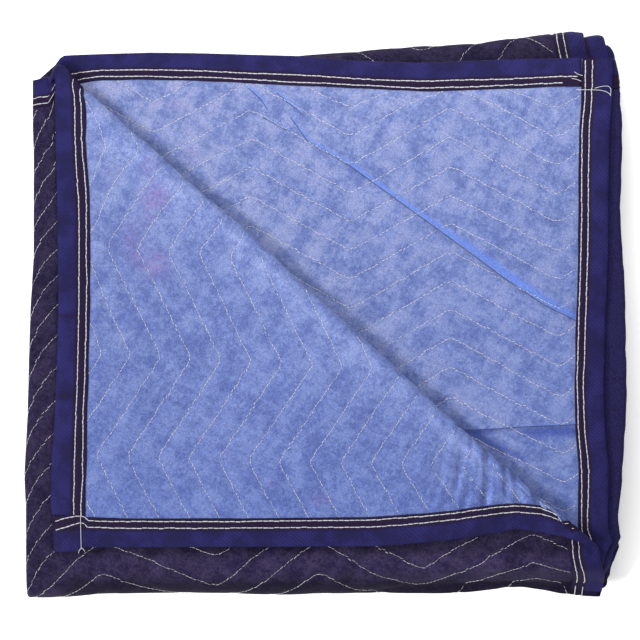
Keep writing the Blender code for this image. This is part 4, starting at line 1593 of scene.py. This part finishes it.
def add_thread(item, settings):
    """Gives stitches or loose threads their finish. They replace no CAD node."""
    item.data.materials.append(sewing_thread(settings))
    item.data.shade_smooth()
    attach(item, "root")


class BLANKET_OT_binding_stitches(bpy.types.Operator):
    """Two rows of white stitches along each tape"""

    bl_idname = "blanket.binding_stitches"
    bl_label = "Binding stitches"

    def execute(self, context):
        settings = context.scene.blanket
        pairs = tape_stitches(settings)
        add_thread(stitches("binding_stitches", pairs, settings.tape_thread, 0.25), settings)
        return {"FINISHED"}


# loose threads on the second ply, in millimetres: x and y of each point
LOOSE_THREADS = (
    ((214.7, 193.5), (226.0, 193.4), (236.3, 193.2), (242.8, 190.8), (244.0, 188.1)),
    ((230.4, 194.7), (236.3, 196.4), (242.3, 196.8), (244.5, 194.1), (243.8, 188.7)),
    ((213.1, 208.7), (216.0, 206.6), (220.2, 205.4)),
    ((210.8, 203.0), (215.0, 202.4), (219.0, 200.6)),
)
# and on the turned corner
TUFTS = (
    ((-207.0, -169.5), (-206.8, -180.0), (-206.6, -190.0), (-206.4, -197.5)),
    ((-206.4, -196.5), (-208.2, -198.5), (-208.8, -201.0)),
    ((-206.4, -196.5), (-204.5, -197.5), (-203.4, -199.5)),
    ((110.0, -166.5), (112.0, -167.0), (113.5, -165.5)),
)


class BLANKET_OT_loose_threads(bpy.types.Operator):
    """Thread ends left hanging where rows of stitches end"""

    bl_idname = "blanket.loose_threads"
    bl_label = "Loose threads"

    def execute(self, context):
        settings = context.scene.blanket
        tubes = []
        for paths, turned in ((LOOSE_THREADS, False), (TUFTS, True)):
            for path in paths:
                x, y = (np.array(path) * MM).T
                u, v = unturn(*ease_back(x, y)) if turned else open_flat(x, y)
                height = lay_in_stack(u, v, np.full(len(x), -PLY / 2.0 - 0.0010))[:, 2]
                places = np.stack((x - STACK_MIDDLE[0], y - STACK_MIDDLE[1], height), axis=-1)
                tubes.append(tube(places, settings.tape_thread * 0.55))
        add_thread(join_tubes("loose_threads", tubes), settings)
        return {"FINISHED"}


class BLANKET_OT_stage(bpy.types.Operator):
    """Pale floor, soft lights behind and at the front left, and a camera straight above"""

    bl_idname = "blanket.stage"
    bl_label = "Stage"

    def execute(self, context):
        stage = context.scene.blanket_stage
        scene = context.scene
        corners = [(-4.0, -4.0, 0.0), (4.0, -4.0, 0.0), (4.0, 4.0, 0.0), (-4.0, 4.0, 0.0)]
        floor = new_object("floor", corners, [(0, 1, 2, 3)])
        finish = Finish("floor_finish", 0.9, 0.0)
        paper = finish.noise(finish.places.outputs["Object"], 40.0)
        colour = stage.floor_colour
        finish.coloured(finish.mixed(paper, tinted(colour, 0.99), tinted(colour, 1.01)))
        finish.shader.inputs["Emission Color"].default_value = (1.0, 1.0, 1.0, 1.0)
        finish.shader.inputs["Emission Strength"].default_value = 0.22
        floor.data.materials.append(finish.material)
        world = bpy.data.worlds.new("studio")
        world.use_nodes = True
        background = world.node_tree.nodes["Background"]
        background.inputs["Color"].default_value = (1.0, 1.0, 1.0, 1.0)
        background.inputs["Strength"].default_value = stage.fill
        scene.world = world
        lights = (
            ("light_behind", (0.10, 0.60, 0.62), 0.5, stage.key),
            ("light_left", (-2.40, -1.50, 2.30), 1.2, stage.side),
        )
        for name, place, size, power in lights:
            lamp = bpy.data.lights.new(name, "AREA")
            lamp.shape = "DISK"
            lamp.size = size
            lamp.energy = power
            light = bpy.data.objects.new(name, lamp)
            light.location = place
            light.rotation_euler = (-light.location).to_track_quat("-Z", "Y").to_euler()
            scene.collection.objects.link(light)
        lens = bpy.data.cameras.new("camera")
        lens.lens = stage.lens
        lens.sensor_width = 36.0
        camera = bpy.data.objects.new("camera", lens)
        camera.location = (-0.0040, -0.0060, TOP_PLY + 0.005 + stage.camera_height)
        scene.collection.objects.link(camera)
        scene.camera = camera
        scene.view_settings.view_transform = "Standard"
        return {"FINISHED"}


class BLANKET_PT_panel(bpy.types.Panel):
    """Lists the pieces and their settings"""

    bl_idname = "BLANKET_PT_panel"
    bl_label = "Blanket"
    bl_space_type = "VIEW_3D"
    bl_region_type = "UI"
    bl_category = "Blanket"

    def draw(self, context):
        for settings in (context.scene.blanket, context.scene.blanket_stage):
            for name in settings.__annotations__:
                self.layout.prop(settings, name)
        for operator in OPERATORS:
            self.layout.operator(operator.bl_idname)


OPERATORS = (
    BLANKET_OT_stage,
    BLANKET_OT_turned_ply,
    BLANKET_OT_second_ply,
    BLANKET_OT_other_plies,
    BLANKET_OT_bindings,
    BLANKET_OT_quilting,
    BLANKET_OT_binding_stitches,
    BLANKET_OT_loose_threads,
)


def register():
    for group in (BlanketSettings, StageSettings, *OPERATORS, BLANKET_PT_panel):
        bpy.utils.register_class(group)
    bpy.types.Scene.blanket = PointerProperty(type=BlanketSettings)
    bpy.types.Scene.blanket_stage = PointerProperty(type=StageSettings)


def unregister():
    del bpy.types.Scene.blanket_stage
    del bpy.types.Scene.blanket
    for group in reversed((BlanketSettings, StageSettings, *OPERATORS, BLANKET_PT_panel)):
        bpy.utils.unregister_class(group)


def main():
    register()
    for operator in OPERATORS:
        made = getattr(bpy.ops.blanket, operator.bl_idname.split(".")[1])()
        if made != {"FINISHED"}:
            raise RuntimeError(operator.bl_label + " was not made")


if __name__ == "__main__":
    main()
